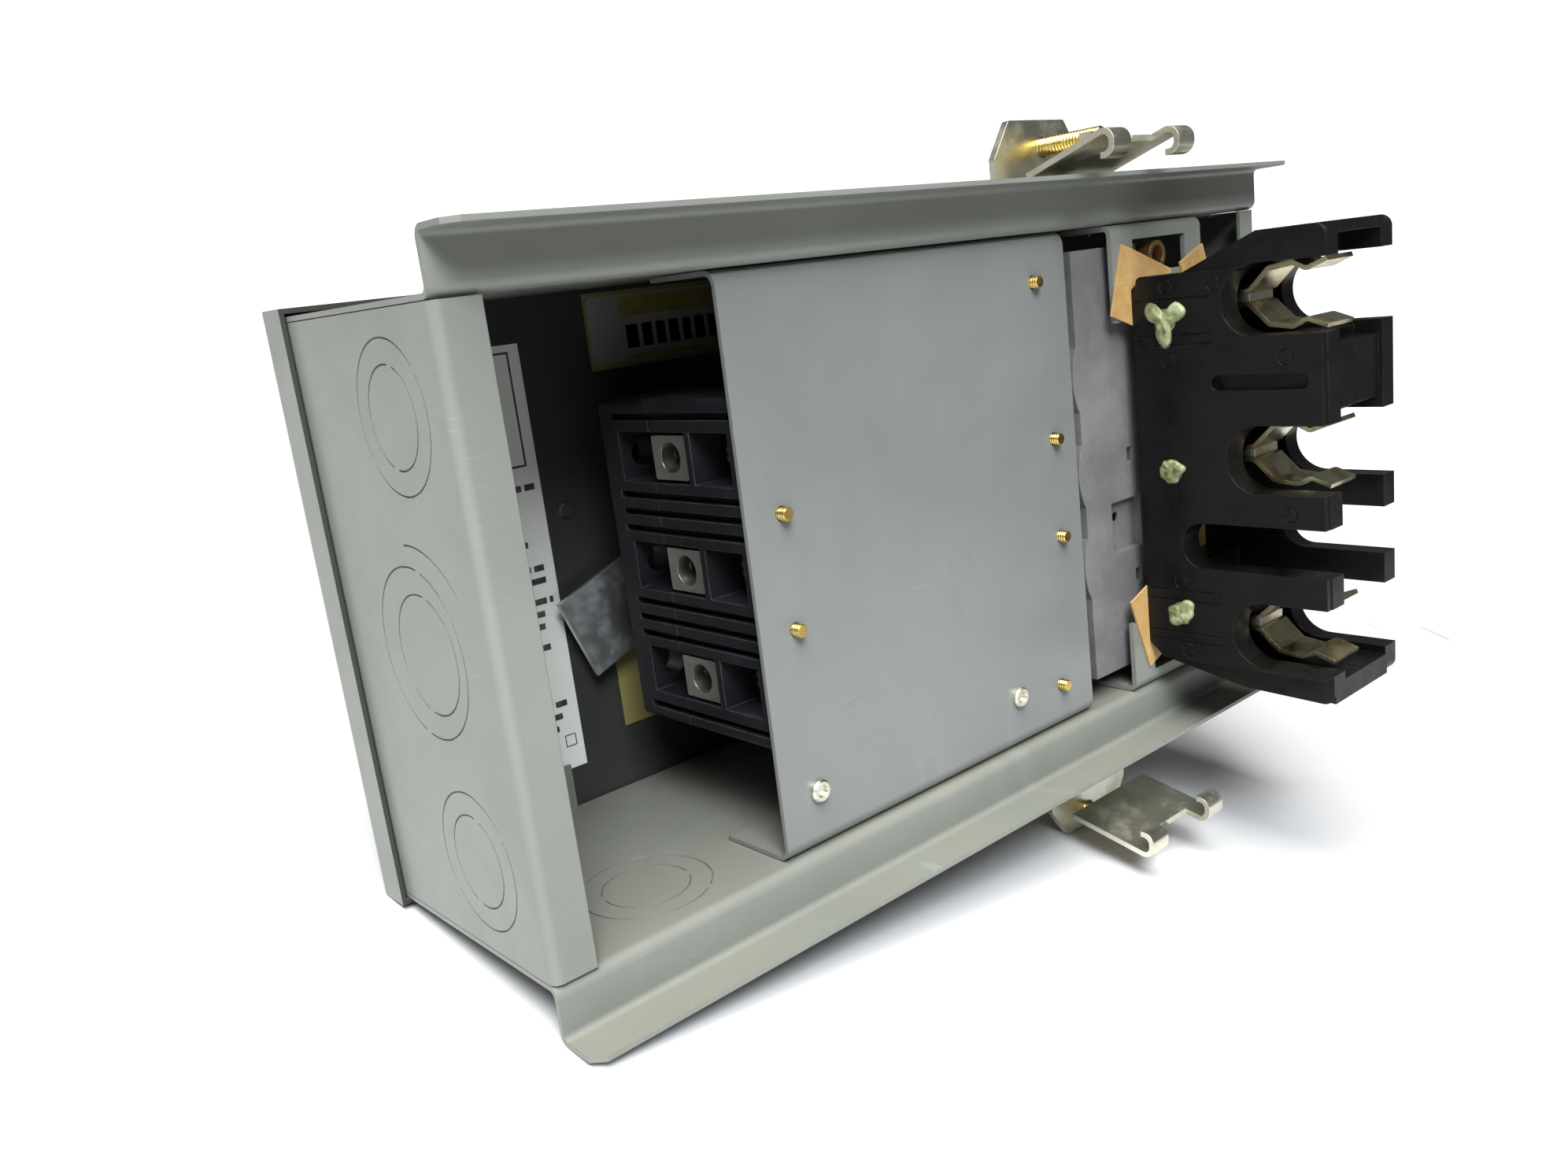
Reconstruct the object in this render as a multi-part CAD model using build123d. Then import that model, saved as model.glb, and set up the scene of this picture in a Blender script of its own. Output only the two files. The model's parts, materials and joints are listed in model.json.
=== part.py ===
from build123d import *
import math
import os

os.makedirs("parts", exist_ok=True)

# A plug-in breaker enclosure for busway, lying on one long side.
# Millimetres. +X runs from the knockout end to the jaw end, +Y from the open
# rim to the front cover, +Z from the lower long side to the upper one.
# The origin is the centre of the open rim, where the unit meets the busway.

# ---------------------------------------------------------------- enclosure
CASE_LENGTH = 360.0
CASE_WIDTH = 178.0
SHEET = 1.5
BEND = 1.8
RIM_FLANGE = 15.0
LIP_DEPTH = 15.0
LIP_CHAMFER = 5.0
SIDE_DEPTH = 101.0
COVER_INNER = 102.5
COVER_LIP = 14.5
COVER_END_GAP = 0.5
COVER_SIDE_GAP = 0.8
RETURN_LEFT = 13.4
RETURN_RIGHT = 11.5
HALF_L = CASE_LENGTH / 2
HALF_W = CASE_WIDTH / 2
COVER_OUTER = COVER_INNER + SHEET
COVER_LIP_EDGE = COVER_OUTER - COVER_LIP
FIT = 0.2

# Knockouts: concentric rings pressed into the sheet, joined by small ties.
RING_GROOVE = 0.4
RING_DEPTH = 0.5
SMALL_RINGS = [13.4, 20.0]
LARGE_RINGS = [16.7, 24.0]
OUTER_ARC = 30.0
END_KNOCKOUT_Y = 32.0
END_KNOCKOUT_Z = 60.5
LARGE_KNOCKOUT_Y = 38.5
LARGE_KNOCKOUT_Z = -2.6
FLOOR_KNOCKOUT_X = -131.0
FLOOR_KNOCKOUT_Y = 29.0

# Cover hinges along the upper long side, and two captive screws below.
HINGE_X = 110.0
HINGE_LENGTH = 44.0
HINGE_Y = 86.5
HINGE_Z = HALF_W + 2.9
KNUCKLE_RADIUS = 2.4
HINGE_PIN_RADIUS = 1.2
HINGE_CLEARANCE = 0.05
LEAF = 1.2
STUD_X = -95.2
STUD_Z = 15.6
COVER_SCREW_X = 120.0
COVER_SCREW_Z = -79.5
COVER_SCREW_RADIUS = 2.4

# ------------------------------------------------------- breaker and its pan
PAN_X = (-96.5, 56.5)
PAN_Y = 2.6
PAN_SHEET = 1.5
PAN_FOOT = 32.0
PAN_BEND = 3.2
BREAKER_X = (-95.0, 57.0)
BREAKER_Y = (PAN_Y + PAN_SHEET + 0.4, 46.0)
BREAKER_STEP_Y = 72.0
BREAKER_FACE_Y = 80.0
BREAKER_HALF = 52.4
BREAKER_RAISED_X = (-62.0, 24.0)
POLE_PITCH = 34.9
POLES = [POLE_PITCH, 0.0, -POLE_PITCH]
PART_GAP = 0.2
POCKET_HALF = 7.8
LUG_HALF = 6.8
LUG_X = (-94.2, -79.0)
LUG_Y = (29.5, 46.4)
LUG_BORE_Y = 37.5
LUG_BORE_RADIUS = 4.8
LUG_SCREW_RADIUS = 2.95
LUG_SCREW_X = -86.5
MOUNT_SCREW_X = [-83.0, 44.0]
MOUNT_SCREW_Z = POLE_PITCH / 2
SIDE_SCREW_X = 38.5
SIDE_SCREW_Z = 71.5
SCREW_RADIUS = 2.1
CLINCH_NUTS = [(-82.0, -68.5), (14.0, -68.5)]

# Switching: toggle, contacts, yoke and rotary handle move together.
HANDLE_THROW = 50.0
CRANK_RADIUS = 19.4
HANDLE_X = -30.0
TOGGLE_X = -19.0
TOGGLE_Y = 62.0
TOGGLE_TILT = 20.0
YOKE_Y = 85.0
CROSSBAR_X = -30.0
CROSSBAR_Y = 34.0
CROSSBAR_RADIUS = 5.0
CONTACT_OPEN = 18.0
TRIP_X = 12.0
TRIP_Z = -20.0
TRIP_RADIUS = 3.0

# ------------------------------------------------------------ busway jaw end
SHIELD_X = (64.0, 104.0)
SHIELD_Y = 5.5
SHIELD_WALL = 4.0
SHIELD_DEPTH = 52.0
SHIELD_Z = (-78.0, 80.0)
BRACKET_X = (81.0, 139.0)
BRACKET_SHEET = 2.0
BRACKET_FOOT = 30.0
PAPER = 0.8
JAW_BASE_X = (90.0, 140.0)
JAW_WALL = 8.0
JAW_ROOT_Y = -1.1
JAW_TIP_Y = -72.0
JAW_Z = {"upper": 57.0, "middle": 2.5, "lower": -61.0}
NEUTRAL_Z = -29.5
SLOT_HALF = 12.0
NEUTRAL_HALF = 8.5
JAW_PAD = 3.0
FINGER_X = (104.0, 122.0)
FINGER_SHEET = 1.6
STRAP_SHEET = 3.0
STRAP_HALF = 6.0
STRAP_Y = 27.7
STRAP_LEG_X = (105.0, 121.0)

# --------------------------------------------------------------- hook clamps
HOOK_X = (39.0, 84.5)
HOOK_SCREW_X = 61.5
HOOK_SHEET = 2.0
HOOK_FINGER = 9.2
HOOK_BACK_Y = 2.5
HOOK_FRONT_Y = -32.3
HOOK_NUT_Y = (-12.0, -7.5)
UPPER_HOOK_Z = (106.6, 117.7)
LOWER_HOOK_Z = (124.6, 132.7)
UPPER_SCREW_Z = 116.0
LOWER_SCREW_Z = 131.5
HOOK_PLATE_Y = 12.0
BRACKET_PLATE_SHEET = 2.6
BRACKET_PLATE_X = (35.5, 82.0)
UPPER_BRACKET_TOP = 125.0
LOWER_BRACKET_TOP = 137.0
LOWER_BRACKET_SHIFT = 4.0
HOOK_FOOT = 26.0
HOOK_SCREW_RADIUS = 3.15
HOOK_SCREW_TIP = -12.5
HOOK_PITCH = 1.27


# ------------------------------------------------------------------- helpers
def block(x, y, z):
    """A box between two values on each axis."""
    size = Box(x[1] - x[0], y[1] - y[0], z[1] - z[0])
    return Pos((x[0] + x[1]) / 2, (y[0] + y[1]) / 2, (z[0] + z[1]) / 2) * size


def around(centre, half):
    """The two values that lie half on each side of centre."""
    return (centre - half, centre + half)


def rod(start, direction, length, radius):
    """A cylinder that starts at a point and runs along a direction."""
    return Solid.make_cylinder(radius, length, Plane(origin=start, z_dir=direction))


def hexagon(start, direction, length, across_flats):
    """A hexagonal prism, as a screw head or a key socket."""
    plane = Plane(origin=start, z_dir=direction)
    outline = RegularPolygon(across_flats / 2, 6, major_radius=False)
    return extrude(plane * outline, length)


def yz_plate(points, x, radii=None):
    """A plate with an outline drawn in Y and Z, between two values of X."""
    corner_radii = radii or [0.0] * len(points)
    outline = FilletPolyline(*points, radius=corner_radii, close=True)
    return extrude(Plane.YZ.offset(x[0]) * make_face(outline), x[1] - x[0])


def mitre_offsets(points, distance):
    """The corner points of a line moved to its left by a distance."""
    path = [Vector(*point) for point in points]
    steps = [(b - a).normalized() for a, b in zip(path, path[1:])]
    moved = []
    for index, corner in enumerate(path):
        before = steps[max(index - 1, 0)]
        after = steps[min(index, len(steps) - 1)]
        left_before = Vector(-before.Y, before.X)
        left_after = Vector(-after.Y, after.X)
        bisector = left_before + left_after
        moved.append(corner + bisector * (2 * distance / bisector.length**2))
    return [(point.X, point.Y) for point in moved]


def sheet_outline(points, thickness, bend):
    """Bent sheet seen on edge; a positive thickness lies left of the line."""
    path = [Vector(*point) for point in points]
    near_radii = [0.0]
    far_radii = [0.0]
    for before, corner, after in zip(path, path[1:], path[2:]):
        turn = (corner - before).cross(after - corner).Z
        material_inside = turn * thickness > 0
        near_radii.append(bend + abs(thickness) if material_inside else bend)
        far_radii.append(bend if material_inside else bend + abs(thickness))
    near_radii.append(0.0)
    far_radii.append(0.0)
    far_points = mitre_offsets(points, thickness)
    outline = list(points) + far_points[::-1]
    return FilletPolyline(*outline, radius=near_radii + far_radii[::-1], close=True)


def bent_sheet(points, thickness, bend, x):
    """Sheet bent along lines parallel to X, its edge drawn in Y and Z."""
    outline = sheet_outline(points, thickness, bend)
    return extrude(Plane.YZ.offset(x[0]) * make_face(outline), x[1] - x[0])


def flipped(shape):
    """The same shape on the other long side, mirrored in Z."""
    return mirror(shape, about=Plane.XY)


def ring(centre, direction, radius, depth):
    """A thin ring-shaped groove tool that starts at a face and goes in."""
    outer = rod(centre, direction, depth, radius + RING_GROOVE / 2)
    inner = rod(centre, direction, depth, radius - RING_GROOVE / 2)
    return outer - inner


def knockout_cuts(centre, inward, radii, ties):
    """Grooves of one knockout; each ring keeps its ties at its own angles."""
    plane = Plane(origin=centre, z_dir=inward)
    cuts = []
    for index, radius in enumerate(radii):
        groove = ring(centre, inward, radius, RING_DEPTH)
        for tie in range(ties):
            angle = 360.0 * tie / ties + 40.0 * index + 15.0
            bridge = Rot(0, 0, angle) * Pos(radius, 0, 0) * Box(3.0, 2.6, 4.0)
            groove = groove - plane.location * bridge
        cuts.append(groove)
    return cuts


def flat_head(start, direction, radius, height):
    """A low round head with softened rim and a screwdriver slot."""
    head = rod(start, direction, height, radius)
    head = chamfer(head.edges().group_by(SortBy.LENGTH)[-1], 0.5)
    return head


def threaded(start, direction, length, radius, pitch):
    """A threaded rod, its thread stood in for by a row of grooves."""
    core = rod(start, direction, length, radius * 0.86)
    turns = int(length / pitch)
    plane = Plane(origin=start, z_dir=direction)
    crest = Cone(radius * 0.86, radius, pitch / 2, align=(Align.CENTER, Align.CENTER, Align.MIN))
    root = Cone(radius, radius * 0.86, pitch / 2, align=(Align.CENTER, Align.CENTER, Align.MIN))
    ridge = crest + Pos(0, 0, pitch / 2) * root
    ridges = [plane.location * Pos(0, 0, turn * pitch) * ridge for turn in range(turns)]
    return core + ridges


# ---------------------------------------------------------- enclosure sheets
def side_wall():
    """The upper long side: wall, rim flange and a lip towards the busway."""
    line = [
        (SIDE_DEPTH, HALF_W),
        (SHEET, HALF_W),
        (SHEET, HALF_W + RIM_FLANGE),
        (-LIP_DEPTH, HALF_W + RIM_FLANGE),
    ]
    wall = bent_sheet(line, SHEET, BEND, (-HALF_L, HALF_L))
    for side in (-1, 1):
        corner = Pos(side * HALF_L, -LIP_DEPTH, HALF_W + RIM_FLANGE)
        wall = wall - corner * Rot(0, 0, 45) * Box(LIP_CHAMFER, LIP_CHAMFER, 2 * RIM_FLANGE)
    return wall


def rivet_spots():
    """Where rivets join the pan and the jaw bracket to the side walls."""
    return [(-70.0, 20.0), (30.0, 20.0), (96.0, 20.0), (124.0, 20.0)]


def rivet_holes(radius):
    return [rod((x, y, HALF_W - 6), (0, 0, 1), 8, radius) for x, y in rivet_spots()]


def upper_side_wall():
    return side_wall() - rivet_holes(1.6)


def lower_side_wall():
    """The lower side adds two tabs for the cover screws and a knockout."""
    wall = flipped(side_wall() - rivet_holes(1.6))
    for side in (-1, 1):
        x = side * COVER_SCREW_X
        tab = block(around(x, 9), (SIDE_DEPTH - SHEET, SIDE_DEPTH), (-HALF_W + 0.5, COVER_SCREW_Z + 8))
        hole = rod((x, SIDE_DEPTH - 5, COVER_SCREW_Z), (0, 1, 0), 10, COVER_SCREW_RADIUS + 1.2)
        wall = wall + tab - hole
    centre = (FLOOR_KNOCKOUT_X, FLOOR_KNOCKOUT_Y, -HALF_W + SHEET)
    return wall - knockout_cuts(centre, (0, 0, -1), SMALL_RINGS, 2)


def end_wall(return_width):
    """An end wall at the left, with a return flange and two spot-welded tabs."""
    inside = HALF_W - SHEET - FIT
    line = [(SIDE_DEPTH, -HALF_L), (FIT, -HALF_L), (FIT, -HALF_L + return_width)]
    sheet = Rot(0, 90, 0) * bent_sheet(line, -SHEET, 1.6, (-inside, inside))
    tab_x = (-HALF_L, -HALF_L + 14)
    tabs = [block(tab_x, (12, 92), (side * inside - 1, side * inside + 1)) for side in (-1, 1)]
    trim = [block((-HALF_L - 1, 0), (0, 200), z) for z in ((inside, HALF_W), (-HALF_W, -inside))]
    return sheet + tabs - trim


def knockout_end_wall():
    face = -HALF_L
    inward = (1, 0, 0)
    wall = end_wall(RETURN_LEFT)
    cuts = knockout_cuts((face, END_KNOCKOUT_Y, END_KNOCKOUT_Z), inward, SMALL_RINGS, 2)
    cuts += knockout_cuts((face, END_KNOCKOUT_Y, -END_KNOCKOUT_Z), inward, SMALL_RINGS, 2)
    for radius in LARGE_RINGS:
        offset = 0.4 * (radius - LARGE_RINGS[0])
        centre = (face, LARGE_KNOCKOUT_Y + offset, LARGE_KNOCKOUT_Z)
        cuts += knockout_cuts(centre, inward, [radius], 2)
    arc = ring((face, LARGE_KNOCKOUT_Y, LARGE_KNOCKOUT_Z), inward, OUTER_ARC, RING_DEPTH)
    quarter = block((face - 1, 0), (LARGE_KNOCKOUT_Y - 24, LARGE_KNOCKOUT_Y + 2), (0, 60))
    return wall - cuts - (arc & quarter)


def jaw_end_wall():
    return mirror(end_wall(RETURN_RIGHT), about=Plane.YZ)


def front_cover():
    """A pan-shaped door over the front, with a hole for the handle shaft."""
    outer_x = HALF_L + COVER_END_GAP + SHEET
    outer_z = HALF_W + COVER_SIDE_GAP + SHEET
    y = (COVER_LIP_EDGE, COVER_OUTER)
    shell = block((-outer_x, outer_x), y, (-outer_z, outer_z))
    face_edges = shell.faces().sort_by(Axis.Y)[-1].edges()
    shell = fillet(face_edges, 2.0)
    inner_x = outer_x - SHEET
    inner_z = outer_z - SHEET
    hollow = block((-inner_x, inner_x), (COVER_LIP_EDGE - 1, COVER_INNER), (-inner_z, inner_z))
    shell = shell - hollow
    shell = shell + rod((STUD_X, COVER_INNER - 1.4, STUD_Z), (0, 1, 0), 2.0, 2.4)
    shell = shell - rod((HANDLE_X, COVER_INNER - 1, 0), (0, 1, 0), 4, 9.0)
    for side in (-1, 1):
        hole_start = (side * COVER_SCREW_X, COVER_INNER - 1, COVER_SCREW_Z)
        shell = shell - rod(hole_start, (0, 1, 0), 4, COVER_SCREW_RADIUS + 0.06)
    return shell


def hinge_knuckle(x):
    """A hinge barrel between two values of X, bored for its pin."""
    start = (x[0], HINGE_Y, HINGE_Z)
    barrel = rod(start, (1, 0, 0), x[1] - x[0], KNUCKLE_RADIUS)
    bore = rod(start, (1, 0, 0), x[1] - x[0], HINGE_PIN_RADIUS + HINGE_CLEARANCE)
    return barrel, bore


def hinge_fixed_leaves():
    """Leaves riveted to the upper side wall, each with two outer barrels."""
    leaves = []
    third = HINGE_LENGTH / 3
    for side in (-1, 1):
        centre = side * HINGE_X
        leaf = block(around(centre, HINGE_LENGTH / 2), (64, HINGE_Y), (HALF_W, HALF_W + LEAF))
        knuckle_gap = around(centre, third / 2 + 0.3)
        leaf = leaf - block(knuckle_gap, (HINGE_Y - 3, HINGE_Y + 3), (HALF_W - 1, HALF_W + 3))
        for offset in (-third, third):
            barrel, bore = hinge_knuckle(around(centre + offset, third / 2))
            leaf = leaf + barrel - bore
        leaves.append(leaf)
    return Compound(children=leaves)


def hinge_cover_leaves():
    """Leaves on the cover's upper lip, each with one middle barrel."""
    leaves = []
    third = HINGE_LENGTH / 3
    lip_top = HALF_W + COVER_SIDE_GAP + SHEET
    for side in (-1, 1):
        centre = side * HINGE_X
        z = (lip_top, lip_top + LEAF)
        leaf = block(around(centre, HINGE_LENGTH / 2), (COVER_LIP_EDGE, 102), z)
        leaf = leaf + block(around(centre, third / 2 - 0.3), (HINGE_Y, COVER_LIP_EDGE + 1), z)
        barrel, bore = hinge_knuckle(around(centre, third / 2 - 0.3))
        leaves.append(leaf + barrel - bore)
    return Compound(children=leaves)


def hinge_pins():
    pins = []
    for side in (-1, 1):
        start = (side * HINGE_X - HINGE_LENGTH / 2 - 0.8, HINGE_Y, HINGE_Z)
        pins.append(rod(start, (1, 0, 0), HINGE_LENGTH + 1.6, HINGE_PIN_RADIUS))
    return Compound(children=pins)


def cover_screw(side):
    """A captive slotted screw that holds the cover to a side wall tab."""
    x = side * COVER_SCREW_X
    shank = rod((x, COVER_INNER - 8, COVER_SCREW_Z), (0, 1, 0), 9.5, COVER_SCREW_RADIUS)
    head = flat_head((x, COVER_OUTER, COVER_SCREW_Z), (0, 1, 0), 5.2, 3.0)
    slot = block(around(x, 6), (COVER_OUTER + 1.6, COVER_OUTER + 4), around(COVER_SCREW_Z, 0.6))
    return shank + head - slot


def rivets():
    """Round-head rivets through the side walls, the pan and the bracket."""
    pieces = []
    for x, y in rivet_spots():
        body = rod((x, y, HALF_W - 4.6), (0, 0, 1), 4.6, 1.6)
        head = rod((x, y, HALF_W), (0, 0, 1), 1.4, 3.0)
        head = chamfer(head.edges().sort_by(Axis.Z)[-1], 0.8)
        pieces.append(body + head)
        pieces.append(flipped(body + head))
    return Compound(children=pieces)


# --------------------------------------------------------------- paper labels
def label(x, z, y):
    return block(x, (y - 0.3, y), z)


def instruction_label():
    return label((-168, -103), (-74, 73), COVER_INNER)


def upper_sticker():
    return label((-76, -14), (60, 86), COVER_INNER)


def lower_sticker():
    return label((-85, -68), (-66, -38), COVER_INNER)


# ------------------------------------------------------------ handle and yoke
def operating_handle():
    """Rotary lever outside the cover, set over at rest to the off side."""
    lever_angle = 90 + HANDLE_THROW / 2
    hub = rod((HANDLE_X, COVER_OUTER + 0.5, 0), (0, 1, 0), 12.0, 15.0)
    hub = fillet(hub.edges().sort_by(Axis.Y)[-1], 2.5)
    lever = block((0, 74), (COVER_OUTER + 4.5, COVER_OUTER + 12.5), (-7, 7))
    lever = lever + rod((74, COVER_OUTER + 4.5, 0), (0, 1, 0), 8, 9)
    lever = lever - rod((74, COVER_OUTER, 0), (0, 1, 0), 20, 4)
    handle = hub + Pos(HANDLE_X, 0, 0) * Rot(0, -lever_angle, 0) * lever
    bore = rod((HANDLE_X, COVER_OUTER, 0), (0, 1, 0), 20, 5.05)
    return handle - bore


def handle_shaft():
    return rod((HANDLE_X, COVER_INNER - 9.5, 0), (0, 1, 0), 24.0, 5.0)


def handle_bushing():
    """Flanged bushing in the cover that carries the handle shaft."""
    sleeve = rod((HANDLE_X, COVER_INNER - 2.0, 0), (0, 1, 0), 3.8, 8.8)
    flange = rod((HANDLE_X, COVER_INNER - 2.0, 0), (0, 1, 0), 1.9, 12.0)
    return sleeve + flange - rod((HANDLE_X, COVER_INNER - 5, 0), (0, 1, 0), 10, 5.06)


def crank_arm():
    """Galvanised inner lever: a long tail, and a pin that drives the yoke."""
    tail_angle = 201.0
    pin_angle = 90 + HANDLE_THROW / 2
    y = (COVER_INNER - 8.5, COVER_INNER - 6.5)
    tail = block((0, 78), y, (-15, 15))
    ear = block((0, CRANK_RADIUS), y, (-6, 6)) + rod((CRANK_RADIUS, y[0], 0), (0, 1, 0), 2.0, 6)
    pin = rod((CRANK_RADIUS, YOKE_Y - 1.0, 0), (0, 1, 0), y[0] - YOKE_Y + 1.5, 2.5)
    arm = rod((0, y[0], 0), (0, 1, 0), 2.0, 15)
    arm = arm + Rot(0, -tail_angle, 0) * tail + Rot(0, -pin_angle, 0) * (ear + pin)
    arm = arm - rod((0, y[0] - 1, 0), (0, 1, 0), 4, 5.0)
    return Pos(HANDLE_X, 0, 0) * arm


def operator_frame():
    """Galvanised bracket on the clinch nuts, with a shelf over the breaker."""
    sheet = 1.5
    inside = PAN_Y + PAN_SHEET
    shelf_y = YOKE_Y - 2.6
    line = [(inside, -80.0), (inside, -56.0), (shelf_y, -56.0), (shelf_y, 30.0)]
    frame = bent_sheet(line, -sheet, 1.2, (-90, 26))
    window = block((TOGGLE_X - 20, TOGGLE_X + 20), (shelf_y - 3, shelf_y + 4), (-11, 11))
    relief = block((-91, -58), (12, shelf_y + 4), (-60, 40))
    holes = [rod((x, inside - 1, z), (0, 1, 0), 5, 2.2) for x, z in CLINCH_NUTS]
    trip_hole = rod((TRIP_X, shelf_y - 3, TRIP_Z), (0, 1, 0), 8, TRIP_RADIUS + 0.8)
    screws = [rod((x, shelf_y - 3, z), (0, 1, 0), 8, 1.55) for x, z in yoke_screw_spots()]
    return frame - window - relief - holes - trip_hole - screws


def yoke_travel():
    return 2 * CRANK_RADIUS * math.sin(math.radians(HANDLE_THROW / 2))


def yoke_screw_spots():
    """Shoulder screw centres on the shelf, as X and Z."""
    return [(-46.0, -36.0), (8.0, -36.0)]


def operator_yoke():
    """Sliding plate that carries the toggle over with the handle."""
    y = (YOKE_Y - 0.8, YOKE_Y + 0.6)
    plate = block((TOGGLE_X - 36, TOGGLE_X + 20), y, (-42, 27))
    toggle_centre = TOGGLE_X - (YOKE_Y - TOGGLE_Y) * math.tan(math.radians(TOGGLE_TILT))
    plate = plate - block(around(toggle_centre, 5.9), (80, 90), (-8.5, 8.5))
    pin_x = HANDLE_X - yoke_travel() / 2
    plate = plate - block(around(pin_x, 3.4), (80, 90), (14.5, 23.5))
    for x, z in yoke_screw_spots():
        slot = block((x - yoke_travel() - 0.6, x + 0.6), (80, 90), around(z, 2.6))
        ends = [rod((end, 80, z), (0, 1, 0), 10, 2.6) for end in (x - yoke_travel() - 0.6, x + 0.6)]
        plate = plate - slot - ends
    return plate


def operator_screws():
    """Shoulder screws that guide the yoke, and screws into the clinch nuts."""
    screws = []
    for x, z in yoke_screw_spots():
        shoulder = rod((x, YOKE_Y - 1.1, z), (0, 1, 0), 2.0, 2.2)
        thread = rod((x, YOKE_Y - 4.0, z), (0, 1, 0), 3.0, 1.5)
        head = rod((x, YOKE_Y + 0.9, z), (0, 1, 0), 2.0, 4.2)
        screws.append(shoulder + thread + head)
    inside = PAN_Y + PAN_SHEET
    for x, z in CLINCH_NUTS:
        shank = rod((x, inside - 2.6, z), (0, 1, 0), 4.2, 1.9)
        head = rod((x, inside + 1.5, z), (0, 1, 0), 2.6, 4.0)
        screws.append(shank + head)
    return Compound(children=screws)


# --------------------------------------------------------------- breaker pan
def breaker_pan():
    """U-shaped pan between the side walls; its web faces the busway."""
    edge = HALF_W - SHEET - FIT
    line = [(PAN_FOOT, -edge), (PAN_Y, -edge), (PAN_Y, edge), (PAN_FOOT, edge)]
    pan = bent_sheet(line, -PAN_SHEET, PAN_BEND, PAN_X)
    back = PAN_Y - 2
    for x in MOUNT_SCREW_X:
        pan = pan - [rod((x, back, z), (0, 1, 0), 6, SCREW_RADIUS + 0.1) for z in around(0, MOUNT_SCREW_Z)]
    side_z = around(0, SIDE_SCREW_Z)
    pan = pan - [rod((SIDE_SCREW_X, back, z), (0, 1, 0), 6, SCREW_RADIUS + 0.1) for z in side_z]
    pan = pan - [rod((x, back, z), (0, 1, 0), 6, 3.6) for x, z in CLINCH_NUTS]
    holes = rivet_holes(1.6)
    return pan - holes - [flipped(hole) for hole in holes]


def clinch_nuts():
    """Hollow nuts pressed into the web; their collars stand proud of it."""
    nuts = []
    for x, z in CLINCH_NUTS:
        collar = rod((x, PAN_Y - 2.2, z), (0, 1, 0), 2.2 + PAN_SHEET, 3.6)
        collar = chamfer(collar.edges().sort_by(Axis.Y)[0], 0.6)
        nuts.append(collar - rod((x, PAN_Y - 4, z), (0, 1, 0), 10, 1.95))
    return Compound(children=nuts)


def pan_screws():
    """Screws whose ends stand through the web: four long, two short."""
    screws = []
    tip = PAN_Y - 3.2
    for x in MOUNT_SCREW_X:
        for z in around(0, MOUNT_SCREW_Z):
            screw = threaded((x, tip, z), (0, 1, 0), 11.0, SCREW_RADIUS, 1.0)
            screw = screw + rod((x, tip + 10, z), (0, 1, 0), BREAKER_STEP_Y - tip - 12, SCREW_RADIUS * 0.86)
            screw = screw + rod((x, BREAKER_STEP_Y - 3, z), (0, 1, 0), 3, 3.6)
            screws.append(screw)
    for z in around(0, SIDE_SCREW_Z):
        screw = threaded((SIDE_SCREW_X, tip, z), (0, 1, 0), 8.0, SCREW_RADIUS, 1.0)
        screws.append(screw + rod((SIDE_SCREW_X, PAN_Y + PAN_SHEET, z), (0, 1, 0), 2.6, 4.0))
    return Compound(children=screws)


# ------------------------------------------------------------ moulded breaker
def pole_blocks(x, y, half, centres=POLES):
    return [block(x, y, around(z, half)) for z in centres]


def end_grooves(x_face, y):
    """Narrow grooves between the poles on one end of the moulding."""
    depth = 3.2
    x = (x_face - depth, x_face + depth)
    grooves = []
    for middle in around(0, POLE_PITCH / 2):
        grooves += [block(x, y, around(middle + offset, 1.1)) for offset in (-5.4, 0.0, 5.4)]
    for side in (-1, 1):
        grooves.append(block(x, y, around(side * (BREAKER_HALF - 5.0), 1.1)))
    return grooves


def mount_screw_holes(y, radius):
    holes = []
    for x in MOUNT_SCREW_X:
        holes += [rod((x, y[0], z), (0, 1, 0), y[1] - y[0], radius) for z in around(0, MOUNT_SCREW_Z)]
    return holes


def breaker_base():
    """Lower moulding: three pole chambers, lug pockets and end grooves."""
    bottom, top = BREAKER_Y
    body = block(BREAKER_X, BREAKER_Y, (-BREAKER_HALF, BREAKER_HALF))
    body = fillet(body.edges().filter_by(Axis.Y), 2.0)
    chambers = pole_blocks((-68, 32), (bottom + 4, top + 1), 13.5)
    lug_pockets = pole_blocks((-96, -77), (28.5, top + 1), POCKET_HALF)
    terminal_pockets = pole_blocks((-96, -81), (8, 26), POCKET_HALF)
    strap_slots = pole_blocks((31, 58), (23.5, 34), 7.0)
    shaft_way = rod((CROSSBAR_X, CROSSBAR_Y, -46), (0, 0, 1), 92, CROSSBAR_RADIUS + 0.3)
    shaft_way = shaft_way + block(around(CROSSBAR_X, CROSSBAR_RADIUS + 0.3), (CROSSBAR_Y, top + 1), (-46, 46))
    conductor_ways = pole_blocks((-78, -66), (30, 33.5), 5.0)
    body = body - chambers - lug_pockets - terminal_pockets - strap_slots - shaft_way - conductor_ways
    body = body - end_grooves(BREAKER_X[0], (0, 50)) - end_grooves(BREAKER_X[1], (0, 50))
    return body - mount_screw_holes((0, 50), SCREW_RADIUS + 0.25)


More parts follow.
